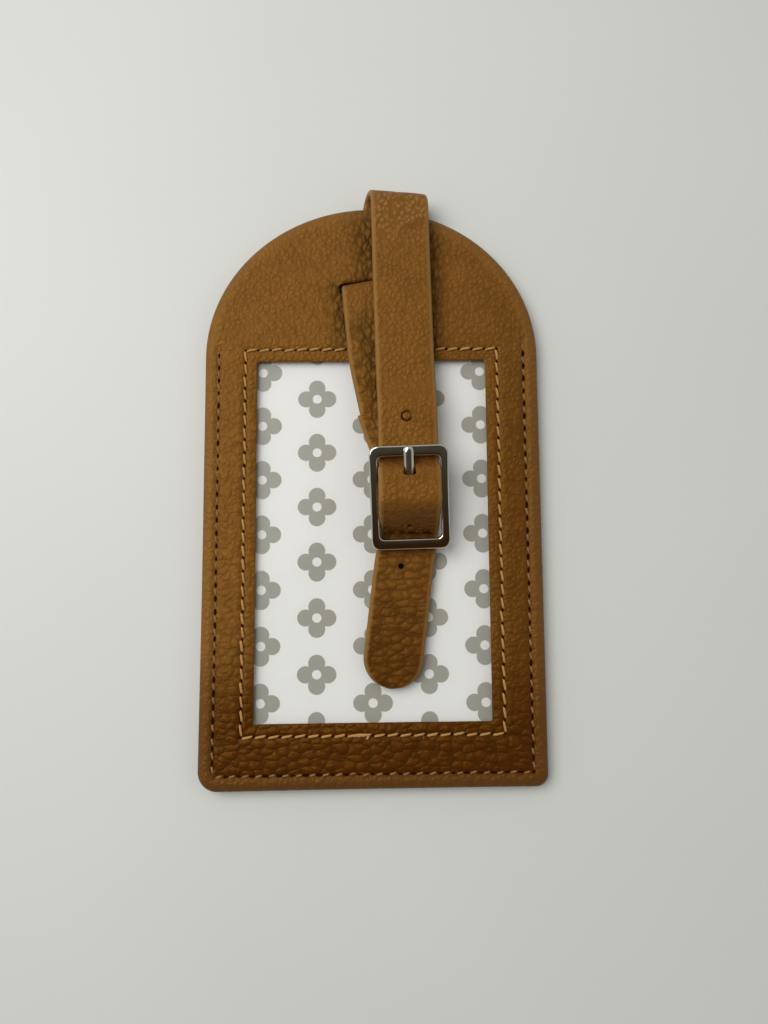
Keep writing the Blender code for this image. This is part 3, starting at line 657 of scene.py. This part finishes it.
lining_window = rectangle_ring(WINDOW[0] - LINING_SETBACK, WINDOW[1] + LINING_SETBACK,
                               WINDOW_CORNER, LINING_STEP)
lining_edge = cast_out(lining_window, WINDOW_MIDDLE, tag_outline(LINING_INSET))
lining = sheet_ring("lining_leather", lining_window, lining_edge, lining_height, LINING_LOW.z, LINING_ACROSS)
lining = cut_away(lining, prism("lining_slit", slit, 0, 3 * FACE_TOP, slit_turn))
settle(lining)
dress(lining, pebbled_leather("lining_hide", pebble=0.9 * MM, relief=0.08 * MM))
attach(lining, "tag")
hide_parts("front_lining")

# Back
# A square-topped leather panel that closes the pocket. It is sewn on at the sides and
# bottom, and the card slides in at its open top.
BACK_LOW, BACK_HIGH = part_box("back_panel")
BACK_ROLL = (1.3 * MM, 0.9 * MM)
BACK_CORE = 2 * MM
BACK_CORE_STEP = 0.03 * MM
BACK_ACROSS = 70
CARD_LOW, CARD_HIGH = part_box("insert_card")
CARD_SLACK = 0.35 * MM
CARD_GAP = 0.06 * MM


def back_height(x, y):
    """The back's outer side, seen from below: a rolled rim and the pressed edge seam."""
    rim = np.minimum(edge_distance(x, y), BACK_HIGH.y - y)
    drop = rolled(rim, *BACK_ROLL)
    drop += SEAM_DEPTH * bell(edge_distance(x, y) - EDGE_SEAM, SEAM_SPREAD)
    return drop + 0.05 * MM * (1 + lattice_noise(x, y, 6 * MM, 9))


def back_inside(x, y):
    """The back's inner side: a shallow bed for the card, open at the top."""
    bedded = (np.abs(x) < CARD_HIGH.x + CARD_SLACK) & (y > CARD_LOW.y - CARD_SLACK)
    return np.where(bedded, CARD_LOW.z - CARD_GAP, BACK_HIGH.z)


back_middle = np.array((0.0, (BACK_LOW.y + BACK_HIGH.y) / 2))
back_core = rectangle_ring(back_middle - BACK_CORE, back_middle + BACK_CORE, BACK_CORE / 2, BACK_CORE_STEP)
back_edge = cast_out(back_core, back_middle, tag_outline(0.0, BACK_HIGH.y))
share = np.linspace(0, 1, BACK_ACROSS) ** 0.8
outside = back_middle + (back_edge - back_middle)[:, None] * share[None, 1:, None]
inside = outside[:, ::-1]
shell = np.concatenate([raised(outside, back_height(outside[..., 0], outside[..., 1])),
                        raised(inside, back_inside(inside[..., 0], inside[..., 1]))], axis=1)
back = grid_mesh("back_leather", shell.transpose(1, 0, 2))
settle(back)
dress(back, pebbled_leather("back_hide", pebble=1.08 * MM, relief=0.25 * MM))
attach(back, "tag")
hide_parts("back_panel")

# Window
# A clear vinyl sheet sewn behind the face, over a loose white card with a plain grey
# pattern that slides in the pocket.
VINYL_WHITE = (0.95, 0.95, 0.95, 1.0)
VINYL_HAZE = 0.12
vinyl = Finish(bpy.data.materials.new("clear_vinyl"))
handled = vinyl.noise(vinyl.place(), 6 * MM, 3.0)
vinyl.set(Base_Color=VINYL_WHITE, Roughness=0.09 + 0.06 * handled, Alpha=VINYL_HAZE)
dress(frame["nodes"]["window_film"], vinyl.owner)

CARD_WHITE = (0.90, 0.90, 0.87, 1.0)
CARD_GREY = (0.20, 0.187, 0.105, 1.0)
MOTIF_PITCH = 11.5 * MM
PETAL_REACH = 2.3 * MM
PETAL_RADIUS = 1.75 * MM
HEART_RADIUS = 0.95 * MM
INK_SOFTNESS = 0.06 * MM


def petal_card():
    """White card with half-drop rows of four-petal flowers: each is four discs round an open heart."""
    card = Finish(bpy.data.materials.new("patterned_card"))
    x, y, _ = card.axes(card.place())
    column = (x / MOTIF_PITCH + 0.5).math('FLOOR')
    drop = abs(column.math('MODULO', 2.0)) * (0.5 * MOTIF_PITCH)
    u = abs(x - column * MOTIF_PITCH)
    v = abs((y + drop).math('WRAP', MOTIF_PITCH / 2, -MOTIF_PITCH / 2))
    aside = (u - PETAL_REACH) * (u - PETAL_REACH) + v * v
    above = u * u + (v - PETAL_REACH) * (v - PETAL_REACH)
    petals = aside.math('MINIMUM', above).math('SQRT')
    heart = (u * u + v * v).math('SQRT')
    ink = 1 - petals.smooth(PETAL_RADIUS - INK_SOFTNESS, PETAL_RADIUS + INK_SOFTNESS)
    ink = ink * heart.smooth(HEART_RADIUS - INK_SOFTNESS, HEART_RADIUS + INK_SOFTNESS)
    fibre = card.noise(card.place(), 0.5 * MM, 3.0)
    card.set(Base_Color=card.mix(ink * (0.94 + 0.06 * fibre), CARD_WHITE, CARD_GREY), Roughness=0.6)
    return card.owner


dress(frame["nodes"]["insert_card"], petal_card())

# Seams
# Tan lock stitches, each a short bent length of twisted thread between two needle holes,
# round the window and along the sides and bottom.
STITCH = 2.7 * MM
THREAD = 0.22 * MM
HOLE_SIZE = 0.40 * MM
HOLE_DEPTH = 0.3 * MM
STITCH_ARCH = 0.30 * MM
STITCH_DIP = 0.22 * MM
TWIST = 0.30 * MM
NEEDLE_DARK = (0.020, 0.007, 0.002, 1.0)
GOLD_LIGHT, GOLD_DARK = (0.66, 0.38, 0.115, 1.0), (0.36, 0.17, 0.040, 1.0)
BROWN_LIGHT, BROWN_DARK = (0.46, 0.26, 0.085, 1.0), (0.12, 0.042, 0.011, 1.0)


def spaced(corners, closed):
    """Hole places at an even pitch along straight runs between corners."""
    ends = list(zip(corners, corners[1:] + (corners[:1] if closed else [])))
    holes = []
    for start, end in ends:
        start, end = np.array(start), np.array(end)
        count = max(1, round(float(np.linalg.norm(end - start)) / STITCH))
        holes.append(start + (end - start) * np.linspace(0, 1, count, endpoint=False)[:, None])
    if not closed:
        holes.append(np.array(corners[-1:]))
    return np.concatenate(holes)


def unit(vectors):
    """Vectors in rows, each brought to length 1."""
    return vectors / np.linalg.norm(vectors, axis=1)[:, None]


def left_of(way):
    """Flat directions in rows, each turned a quarter turn to the left."""
    return np.column_stack([-way[:, 1], way[:, 0]])


def stitch_mesh(name, holes, closed, level, side, slant, cover, thick=THREAD):
    """One bent thread for each pair of holes: a low arch between them, dipping at both ends."""
    first = holes if closed else holes[:-1]
    second = np.roll(holes, -1, axis=0) if closed else holes[1:]
    along = second - first
    normal = left_of(unit(along))
    jitter = np.random.default_rng(len(holes)).normal(0, 1, (len(first), 3))
    share = np.linspace(-1, 1, 9)
    place = (first + second)[:, None] / 2 + along[:, None] * (cover * share / 2)[None, :, None]
    lean = (slant * share)[None, :] + 0.05 * MM * jitter[:, :1]
    place = place + normal[:, None] * lean[..., None]
    rise = (STITCH_ARCH * (1 - share ** 4) - STITCH_DIP)[None, :] + 0.03 * MM * jitter[:, 1:2]
    centre = raised(place, level + side * rise)
    turn = full_turn(8)
    girth = thick * (1 + 0.06 * jitter[:, 2:3]) * (0.55 + 0.45 * (1 - share ** 6))[None, :]
    sideways = raised(normal, 0.0)
    ring = (np.cos(turn)[:, None, None, None] * sideways[:, None]
            + np.sin(turn)[:, None, None, None] * np.array((0, 0, 1.0)))
    points = centre[None] + ring * girth[None, ..., None]
    return grid_mesh(name, points.transpose(1, 2, 0, 3))


def hole_mesh(name, holes, level, side, size=HOLE_SIZE):
    """A shallow dark dimple at each needle hole: a flat disc with a sunken middle."""
    turn = full_turn(10)
    way = unit(np.gradient(holes, axis=0))
    normal = left_of(way)
    size = size * np.random.default_rng(len(holes) + 1).uniform(0.75, 1.15, (len(holes), 1, 1))
    lengthways = way[:, None] * np.cos(turn)[None, :, None] * 1.5
    crossways = normal[:, None] * np.sin(turn)[None, :, None] * 0.75
    disc = (lengthways + crossways) * size
    points = np.stack([raised(holes[:, None] + disc, level),
                       raised(holes[:, None] + 0.5 * disc, level - side * HOLE_DEPTH)], axis=1)
    return grid_mesh(name, points, smooth=False)


def sewing_thread(name, light, dark):
    """Waxed tan thread with a fine diagonal twist."""
    thread = Finish(bpy.data.materials.new(name))
    point = thread.place()
    x, y, z = thread.axes(point)
    twist = ((x + y + z * 1.5) * (2 * math.pi / TWIST)).math('SINE') * 0.5 + 0.5
    shade = thread.noise(point, 2.5 * MM)
    thread.set(Base_Color=thread.mix(twist * 0.45 + shade * 0.55, dark, light), Roughness=0.6)
    thread.set(Normal=thread.bump(twist, 0.05 * MM))
    return thread.owner


needle_hole = Finish(bpy.data.materials.new("needle_hole"))
needle_hole.set(Base_Color=NEEDLE_DARK, Roughness=0.9, Specular_IOR_Level=0.0)
NEEDLE_SHADE = needle_hole.owner
GOLD_THREAD = sewing_thread("gold_thread", GOLD_LIGHT, GOLD_DARK)
BROWN_THREAD = sewing_thread("brown_thread", BROWN_LIGHT, BROWN_DARK)
window_low, window_high = WINDOW[0] - WINDOW_SEAM, WINDOW[1] + WINDOW_SEAM
window_holes = spaced([tuple(window_low), (window_high[0], window_low[1]), tuple(window_high),
                       (window_low[0], window_high[1])], True)
seam_side = BODY_HALF - EDGE_SEAM
edge_holes = spaced([(-seam_side, EDGE_SEAM_END), (-seam_side, BOTTOM + EDGE_SEAM),
                     (seam_side, BOTTOM + EDGE_SEAM), (seam_side, EDGE_SEAM_END)], False)
PRESSED = FACE_TOP - SEAM_DEPTH - 0.06 * MM

window_stitches = stitch_mesh("window_stitches", window_holes, True, PRESSED + 0.12 * MM, 1,
                              slant=0.20 * MM, cover=0.86, thick=1.15 * THREAD)
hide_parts("window_seam")
edge_stitches = stitch_mesh("edge_stitches", edge_holes, False, PRESSED + 0.02 * MM, 1,
                            slant=0.17 * MM, cover=0.52)
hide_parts("edge_seam_front")
back_stitches = stitch_mesh("back_stitches", edge_holes, False, SEAM_DEPTH + 0.06 * MM, -1,
                            slant=0.1 * MM, cover=0.78)
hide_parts("edge_seam_back")
window_needle = hole_mesh("window_needle_holes", window_holes, PRESSED + 0.10 * MM, 1, 0.75 * HOLE_SIZE)
edge_needle = hole_mesh("edge_needle_holes", edge_holes, PRESSED + 0.10 * MM, 1)
back_needle = hole_mesh("back_needle_holes", edge_holes, SEAM_DEPTH + 0.02 * MM, -1)
TACK_PLACE = np.array((-4.4 * MM, window_low[1]))
tack_holes = TACK_PLACE + np.array([(0.0, 0.16), (2.3, -0.10), (1.0, 0.24), (3.6, 0.10), (3.0, -0.75)]) * MM
tack_stitches = stitch_mesh("back_tack", tack_holes, False, PRESSED + 0.24 * MM, 1,
                            slant=0.05 * MM, cover=0.95, thick=1.35 * THREAD)
end_holes = np.array([(-seam_side, EDGE_SEAM_END), (-seam_side + 0.5 * MM, EDGE_SEAM_END)])
seam_end = stitch_mesh("seam_end", end_holes, False, PRESSED + 0.16 * MM, 1, slant=0.0, cover=0.8)
for finish, pieces in ((GOLD_THREAD, (tack_stitches, seam_end, window_stitches)),
                       (BROWN_THREAD, (edge_stitches, back_stitches)),
                       (NEEDLE_SHADE, (window_needle, edge_needle, back_needle))):
    for piece in pieces:
        settle(piece)
        dress(piece, finish)
        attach(piece, "tag")

# Strap
# One strip of the same leather with painted edges. It starts as a flap folded round the
# buckle's bar, goes through the slit, round behind the arch, back over the face and through
# the buckle, and ends in a free round tail.
JOINTS = {joint["name"]: joint for joint in frame["joints"]}
BAR = np.array(JOINTS["buckle_rock"]["pos_m"])
TAIL_ROOT = np.array(JOINTS["tail_lift"]["pos_m"])
STRAP_WIDTH = 12.2 * MM
STRAP_THICK = 1.3 * MM
HALF_STRAP = STRAP_THICK / 2
STRAP_EDGE = 0.50 * MM
LEATHER_GAP = 0.25 * MM
LOOP_REACH = 3.2 * MM
STRAP_LIFT = 0.2 * MM
EYE_RADIUS = 1.15 * MM
FLAP_LENGTH = 18.3 * MM
TURN_IN = 7.15 * MM
FRAME_HALF_LENGTH = 10.5 * MM
TAIL_LENGTH = 27.3 * MM
TAIL_LEAN = math.radians(7.0)
SLIT_BEND = 1.3 * MM
BACK_BEND = 0.9 * MM
MOUTH_BEND = 2.4 * MM
CREST_BEND = 2.5 * MM
HUMP_SPREAD = 0.15 * MM
EASING = 5 * MM
STRAP_STEP = 0.45 * MM

under_z = FACE_TOP + STRAP_LIFT + HALF_STRAP
flap_z = under_z + STRAP_THICK + LEATHER_GAP
billet_z = flap_z + STRAP_THICK + LEATHER_GAP
back_run_z = HALF_STRAP + 0.05 * MM
loop_y = BODY_END + LOOP_REACH - HALF_STRAP
fold_radius = EYE_RADIUS + HALF_STRAP
hump_radius = fold_radius + STRAP_THICK + LEATHER_GAP
loop_radius = (flap_z - back_run_z) / 2
bar_point = BAR[1:]
tail_z = TAIL_ROOT[2]


def bar_side(height, forward):
    """A turn of the strap just inside one end bar of the buckle."""
    return np.array((BAR[1] + forward * TURN_IN, height))


def touch(point, radius, side):
    """Angle where the line from a point touches a circle round the bar."""
    away = point - bar_point
    return math.atan2(away[1], away[0]) + side * math.acos(radius / np.linalg.norm(away))


def bar_turn(radius, start, end):
    """Where the tangents at two angles of a circle round the bar meet."""
    middle = (start + end) / 2
    return bar_point + radius / math.cos((end - start) / 2) * np.array((math.cos(middle), math.sin(middle)))


flap_touch = touch(bar_side(flap_z, 1), fold_radius, 1)
under_touch = touch(bar_side(under_z, 1), fold_radius, -1) + 2 * math.pi
fold_half = (flap_touch + under_touch) / 2
billet_touch = touch(bar_side(billet_z, 1), hump_radius, 1)
tail_touch = touch(bar_side(tail_z, -1), hump_radius, -1) % (2 * math.pi)
tail_contact = bar_point + hump_radius * np.array((math.cos(tail_touch), math.sin(tail_touch)))
fall = tail_contact - bar_side(tail_z, -1)
CREST_START = np.array((4.7 * MM, 3.35 * MM))
CREST_HEIGHT = 3.55 * MM
crest_end = tail_contact + fall / fall[1] * (bar_point[1] + CREST_HEIGHT - tail_contact[1])
flap_end = BAR[1] + FLAP_LENGTH
flap_clear = flap_end + STRAP_THICK
frame_clear = BAR[1] + FRAME_HALF_LENGTH + STRAP_THICK
tail_tip = TAIL_ROOT[1] - TAIL_LENGTH * math.cos(TAIL_LEAN)
tip_x = TAIL_ROOT[0] - TAIL_LENGTH * math.sin(TAIL_LEAN)

# Each turn: place along Y and Z, place across X, yaw in degrees, bend radius
STRAP_TURNS = [
    ((flap_end, flap_z), 3.2 * MM, 12.0, 0.0),
    ((frame_clear, flap_z), 5.3 * MM, 11.0, 0.0),
    (bar_side(flap_z, 1), 7.1 * MM, 3.0, 4.0 * MM),
    (bar_turn(fold_radius, flap_touch, fold_half), BAR[0], 0.0, fold_radius),
    (bar_turn(fold_radius, fold_half, under_touch), BAR[0], 0.0, fold_radius),
    (bar_side(under_z, 1), 7.1 * MM, 3.0, 4.0 * MM),
    ((frame_clear, under_z), 5.3 * MM, 10.0, 0.0),
    ((flap_clear, under_z), 3.5 * MM, 11.0, 0.0),
    ((WINDOW[1, 1], under_z), 1.4 * MM, 8.0, 0.0),
    ((SLOT_MIDDLE[1], under_z), SLOT_MIDDLE[0], 11.0, SLIT_BEND),
    ((SLOT_MIDDLE[1], back_run_z), SLOT_MIDDLE[0], 9.0, BACK_BEND),
    (((SLOT_MIDDLE[1] + loop_y) / 2, back_run_z), 2.4 * MM, -11.0, 0.0),
    ((loop_y, back_run_z), 4.7 * MM, -8.0, loop_radius),
    ((loop_y, flap_z), 6.2 * MM, -5.0, loop_radius),
    ((SLOT_MIDDLE[1], flap_z), 6.6 * MM, 0.5, 0.0),
    ((flap_clear + 5.0 * MM, flap_z), 7.2 * MM, 1.0, 6.0 * MM),
    ((flap_clear, billet_z), 7.4 * MM, 0.8, 6.0 * MM),
    (bar_side(billet_z, 1), 7.6 * MM, 0.0, MOUTH_BEND),
    (bar_point + CREST_START, BAR[0], 0.0, CREST_BEND),
    (crest_end, BAR[0], 0.0, CREST_BEND),
    (bar_side(tail_z, -1), BAR[0] - 0.1 * MM, 0.0, 2.5 * MM),
    ((TAIL_ROOT[1], tail_z), TAIL_ROOT[0], -math.degrees(TAIL_LEAN), 0.0),
    ((tail_tip, tail_z), tip_x, -math.degrees(TAIL_LEAN), 0.0),
]


def bent_route(turns):
    """Points along straight runs with a round bend at each turn, and each point's turn number."""
    places = [np.array(turn[0]) for turn in turns]
    points, keys = [places[0][None]], [np.zeros(1)]
    for i in range(1, len(turns) - 1):
        into, leave = places[i] - places[i - 1], places[i + 1] - places[i]
        into, leave = into / np.linalg.norm(into), leave / np.linalg.norm(leave)
        angle = math.acos(float(np.clip(into @ leave, -1, 1)))
        radius = turns[i][3]
        if angle < 1e-3 or radius == 0:
            points.append(places[i][None])
            keys.append(np.full(1, float(i)))
            continue
        inward = (leave - into) / np.linalg.norm(leave - into)
        centre = places[i] + inward * radius / math.cos(angle / 2)
        start = places[i] - into * radius * math.tan(angle / 2) - centre
        sweep = np.linspace(0, angle, max(3, math.ceil(angle / math.radians(6))))
        points.append(centre + start * np.cos(sweep)[:, None] + into * radius * np.sin(sweep)[:, None])
        keys.append(i + 0.2 * (sweep / angle - 0.5))
    points.append(places[-1][None])
    keys.append(np.full(1, len(turns) - 1.0))
    return np.concatenate(points), np.concatenate(keys)


def strap_line(turns, step):
    """Even points along the strap's middle, with its level cross direction, eased from turn to turn."""
    route, keys = bent_route(turns)
    length = run_length(route)
    order = np.arange(len(turns))
    x = np.interp(keys, order, [turn[1] for turn in turns])
    yaw = np.interp(keys, order, [turn[2] for turn in turns])
    even = np.linspace(0, length[-1], round(length[-1] / step))
    kernel = np.hanning(2 * round(EASING / step) + 1)
    kernel /= kernel.sum()

    def eased(values):
        """Values at the even points, each a weighted mean of its neighbours."""
        between = np.interp(even, length, values)
        wide = np.pad(between, len(kernel) // 2, mode='reflect', reflect_type='odd')
        return np.convolve(wide, kernel, mode='valid')

    upright = [np.interp(even, length, route[:, axis]) for axis in (0, 1)]
    points = np.column_stack([eased(x), *upright])
    angle = np.radians(eased(yaw))
    flat = np.column_stack([np.cos(angle), np.sin(angle), np.zeros(len(angle))])
    return even, points, flat


def strap_mesh(name, turns, step):
    """A flat section with round edges, carried along the strap's line and closed in a half circle."""
    even, points, flat = strap_line(turns, step)
    normal = unit(np.cross(flat, np.gradient(points, axis=0)))
    half = STRAP_WIDTH / 2
    to_tip = even[-1] - even
    width = np.where(to_tip < half, np.sqrt(np.maximum(half ** 2 - (half - to_tip) ** 2, 1e-10)), half)
    width = width + HUMP_SPREAD * np.clip((points[:, 2] - BAR[2] - 1.2 * MM) / (1.5 * MM), 0, 1)
    turn = np.radians(np.linspace(-90, 90, 9))
    top = np.linspace(1, -1, 21)[1:-1]
    upper_half = np.concatenate([np.column_stack([np.ones(9), STRAP_EDGE * np.cos(turn), np.sin(turn)]),
                                 np.column_stack([top, np.zeros(19), np.ones(19)])])
    section = np.concatenate([upper_half, -upper_half])
    across = section[None, :, 0] * np.maximum(width - STRAP_EDGE, 0.02 * MM)[:, None] + section[None, :, 1]
    crown = 1 + 0.06 * (1 - section[:, 0] ** 2)
    rise = (section[:, 2] * crown)[None] * HALF_STRAP * np.minimum(1, 0.3 + to_tip / (0.8 * MM))[:, None]
    waves = uneven(even[:, None], across, (0.05, 4 * MM, 12), (0.03, 2 * MM, 13))
    rise = rise + MM * waves * (np.abs(section[:, 0]) < 0.99)[None]
    rings = points[:, None] + flat[:, None] * across[..., None] + normal[:, None] * rise[..., None]
    rings[..., 2] = np.maximum(rings[..., 2], 0)
    made = grid_mesh(name, rings)
    reach = np.abs(section[None, :, 0]) * (width - STRAP_EDGE)[:, None] + np.abs(section[None, :, 1])
    paint(made, "painted_edge", np.clip((reach - width[:, None] + 1.0 * MM) / (0.6 * MM), 0, 1))
    free_end = np.clip((BAR[1] - points[:, 1]) / (12 * MM), 0, 1) * (points[:, 2] > under_z - 3 * MM)
    lower_layer = (np.abs(points[:, 2] - under_z) < 0.3 * MM) | (even < 15 * MM)
    from_slit = np.clip((SLOT_MIDDLE[1] - points[:, 1] - 2 * MM) / (8 * MM), 0, 1)
    folded = lower_layer * from_slit
    paint(made, "coarse", np.repeat(np.clip(0.08 + 0.92 * free_end + 0.9 * folded, 0, 1), len(section)))
    # Lighter pebble tops near the loop's crest.
    paint(made, "worn", np.repeat(bell(points[:, 1] - loop_y + 4 * MM, 6 * MM), len(section)))
    # Painted shade: the under strap darkens towards the front strap above it, and the hump darkens on its
    # lower slope into the frame.
    shaded = np.clip((across / (0.5 * STRAP_WIDTH) + 0.85) / 0.6, 0, 1)
    hump_slope_shade = bell(points[:, 1] - BAR[1] + 6.5 * MM, 2.6 * MM)
    paint(made, "strain", np.maximum(0.85 * folded[:, None] * shaded, 0.5 * hump_slope_shade[:, None]))
    return made


FIRST_HOLE = 16.6 * MM
PLUG_HOLE = 1.22 * MM
PIN_HOLE = 0.58 * MM
TILT = math.radians(12.0)
PRONG_LOW, PRONG_HIGH = 1.02 * MM, 1.92 * MM
PRONG_SWING = math.radians(12.5)
SWEEP_START, SWEEP_END = 0.9 * MM, 11.0 * MM
SWEEP_HALF = 1.2 * MM
SWEEP_GAP = 0.12 * MM
FOLD_SLOT_HALF = 1.6 * MM


def round_hole(radius):
    """A circle of 24 points."""
    return corner_arc((0, 0), radius, 0, 345, 24)


def punch(piece, outline, low, high, place, slope):
    """Cut an outline through the strap, square to its slope."""
    turn = Matrix.Translation(place) @ Matrix.Rotation(slope, 4, 'X')
    return cut_away(piece, prism("punch", outline, low, high, turn))


def prong_sweep():
    """The space the prong swings through: a wedge with a crowned top, opening away from the bar."""
    side = SWEEP_HALF * np.linspace(-1, 1, 9)
    low = np.full(9, PRONG_LOW - SWEEP_GAP)
    top = PRONG_HIGH / math.cos(PRONG_SWING) + 0.16 * MM - 0.26 * MM * (side / SWEEP_HALF) ** 4
    slope = math.tan(PRONG_SWING)
    lines = ((SWEEP_START, low), (SWEEP_END, low),
             (SWEEP_END, top + SWEEP_END * slope), (SWEEP_START, top + SWEEP_START * slope))
    rings = np.stack([np.column_stack([side, np.full(9, reach), height]) for reach, height in lines], axis=1)
    return grid_mesh("prong_sweep", rings, turn=Matrix.Translation(BAR) @ Matrix.Rotation(TILT, 4, 'X'))


strap = strap_mesh("strap_leather", STRAP_TURNS, STRAP_STEP)
first_hole = (7.3 * MM, BAR[1] + FIRST_HOLE, billet_z)
strap = punch(strap, round_hole(PLUG_HOLE), 0.05 * MM, 3 * MM, first_hole, 0.0)
next_hole = (BAR[0], *(bar_side(tail_z, -1) + 0.45 * fall))
strap = punch(strap, round_hole(PIN_HOLE), -0.4 * MM, 2 * MM, next_hole, math.atan2(fall[1], fall[0]))
last_hole = np.array((TAIL_ROOT[0] - 0.9 * MM, TAIL_ROOT[1] - 2.5 * MM, tail_z))
strap = punch(strap, round_hole(PIN_HOLE), -0.4 * MM, 1.5 * MM, last_hole, 0.0)
strap = cut_away(strap, prong_sweep())
fold_reach = fold_radius + HALF_STRAP + 0.1 * MM
fold_arc = corner_arc((0, 0), fold_reach, math.degrees(billet_touch), 300, 20)
fold_slot = np.concatenate([fold_arc, np.array([(4.6, -1.9), (4.6, 0.15)]) * MM])
slot_turn = Matrix.Translation(BAR) @ Matrix(((0, 0, 1, 0), (1, 0, 0, 0), (0, 1, 0, 0), (0, 0, 0, 1)))
strap = cut_away(strap, prism("fold_slot", fold_slot, -FOLD_SLOT_HALF, FOLD_SLOT_HALF, slot_turn))


def turned(name, profile, place):
    """A closed turned shape: each profile point, a radius and a height, makes one ring of 24 points."""
    radius, height = np.array(profile).T
    rings = raised(radius[:, None, None] * round_hole(1.0), height[:, None])
    return grid_mesh(name, rings + np.array(place))


plug_profile = np.array([(0.80, 0.0), (0.84, 0.36), (0.78, 0.47), (0.55, 0.55), (0.05, 0.57)]) * MM
plug_place = (first_hole[0] - 0.12 * MM, first_hole[1] + 0.06 * MM, first_hole[2])
# Painted shade darkens the strap from the buckle down towards its tail, where less light falls.
STRAP_HIDE = pebbled_leather("strap_hide", pebble=1.02 * MM, relief=0.24 * MM, stretch=1.8,
                             low_end_shade=(-5 * MM, 60 * MM))
hole_plug = turned("hole_plug", plug_profile, plug_place)
dress(hole_plug, STRAP_HIDE)
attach(hole_plug, "strap")
hole_floor = round_hole(PIN_HOLE - 0.02 * MM)
hole_shade = prism("hole_shade", hole_floor, -0.36 * MM, -0.10 * MM, Matrix.Translation(last_hole))
dress(hole_shade, NEEDLE_SHADE)
dress(strap, STRAP_HIDE)
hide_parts("strap", "strap_tail")
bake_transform(strap)
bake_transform(hole_shade)

# Buckle
# A small rectangular frame in polished dark nickel with a bar across its middle, and a
# slim prong whose ring turns on the bar.
FRAME_YAW = math.radians(1.6)
FRAME_INSIDE = 12.5 * MM
RAIL = 1.7 * MM
END_BAR = 2.2 * MM
FRAME_THICK = 1.8 * MM
FRAME_CORNER = 1.7 * MM
FRAME_BEVEL = 0.40 * MM
FRAME_CROWN = 0.012 * MM
FRAME_INNER_CORNER = 1.0 * MM
NICKEL_DULL = (0.56, 0.52, 0.455, 1.0)
NICKEL_BRIGHT = (0.66, 0.62, 0.55, 1.0)
buckle_turn = Matrix.Translation(BAR) @ Matrix.Rotation(FRAME_YAW, 4, 'Z') @ Matrix.Rotation(TILT, 4, 'X')
inner_corner = np.array((FRAME_INSIDE / 2, FRAME_HALF_LENGTH - END_BAR))
inner_ring = rectangle_ring(-inner_corner, inner_corner, FRAME_INNER_CORNER, 0.4 * MM)
outer_corner = np.array((FRAME_INSIDE / 2 + RAIL, FRAME_HALF_LENGTH))
outer_line = rectangle_ring(-outer_corner, outer_corner, FRAME_CORNER, 0.05 * MM)
outer_ring = cast_out(inner_ring, np.zeros(2), outer_line)


def frame_mesh(name):
    """A crowned section with rounded edges, carried round between the inner and outer outlines."""
    span = outer_ring - inner_ring
    width = np.linalg.norm(span, axis=1)
    turn = np.radians(np.linspace(0, 90, 7))
    bevel, rise = FRAME_BEVEL * (1 - np.cos(turn)), FRAME_BEVEL * (np.sin(turn) - 1)
    middle = np.linspace(0, 1, 9)[1:-1]
    plate = FRAME_BEVEL + middle * (width[:, None] - 2 * FRAME_BEVEL)
    inset = np.concatenate([np.broadcast_to(bevel, plate.shape), plate, width[:, None] - bevel[::-1]], axis=1)
    height = FRAME_THICK / 2 + np.concatenate([rise, FRAME_CROWN * np.sin(np.pi * middle), rise[::-1]])
    flat = inner_ring[:, None] + (span / width[:, None])[:, None] * inset[..., None]
    top, low = raised(flat, height), raised(flat[:, ::-1], -height[::-1])
    return grid_mesh(name, np.concatenate([top, low], axis=1), loop=True, turn=buckle_turn)


def dark_nickel(name):
    """Polished dark nickel plate with faint polishing marks and dulled patches."""
    plate = Finish(bpy.data.materials.new(name))
    point = plate.place()
    smear = plate.noise(point, 2.2 * MM, 3.0)
    plate.set(Base_Color=plate.mix(smear, NICKEL_DULL, NICKEL_BRIGHT), Metallic=1.0)
    plate.set(Roughness=0.05 + 0.06 * smear, Normal=plate.bump(plate.noise(point, 0.4 * MM), 0.004 * MM))
    return plate.owner


NICKEL = dark_nickel("dark_nickel")
buckle = frame_mesh("nickel_frame")
dress(buckle, NICKEL)
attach(buckle, "buckle")
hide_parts("buckle_frame")
dress(frame["nodes"]["centre_bar"], NICKEL)

PRONG_WIDTH = 2.0 * MM
PRONG_THICK = 0.86 * MM
PRONG_RING = 1.52 * MM
PRONG_REACH = 10.4 * MM
PRONG_DIP = 0.06 * MM
PRONG_TIP = 1.1 * MM


def prong_mesh(name):
    """An elliptical section carried round the bar and along a straight arm to a narrowed tip."""
    turn = np.radians(np.linspace(395, 90, 40))
    ring = np.column_stack([PRONG_RING * np.cos(turn), PRONG_RING * np.sin(turn)])
    reach = np.linspace(0, 1, 26)[1:]
    arm = np.column_stack([PRONG_REACH * reach, PRONG_RING - PRONG_DIP * reach])
    line = np.concatenate([ring, arm])
    normal = left_of(unit(np.gradient(line, axis=0)))
    to_end = np.clip((PRONG_REACH - line[:, 0]) / PRONG_TIP, 0, 1)
    tip = np.where(np.arange(len(line)) < len(ring), 1.0, np.sqrt(1 - (1 - to_end) ** 2) * 0.75 + 0.25)
    angle = full_turn(28)
    side = PRONG_WIDTH / 2 * tip[:, None] * np.cos(angle)[None]
    rise = PRONG_THICK / 2 * tip[:, None] * np.sin(angle)[None]
    points = np.stack([side, line[:, :1] + normal[:, :1] * rise, line[:, 1:] + normal[:, 1:] * rise], axis=2)
    return grid_mesh(name, points, turn=buckle_turn)


prong = prong_mesh("nickel_prong")
dress(prong, NICKEL)
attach(prong, "prong")
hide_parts("prong")
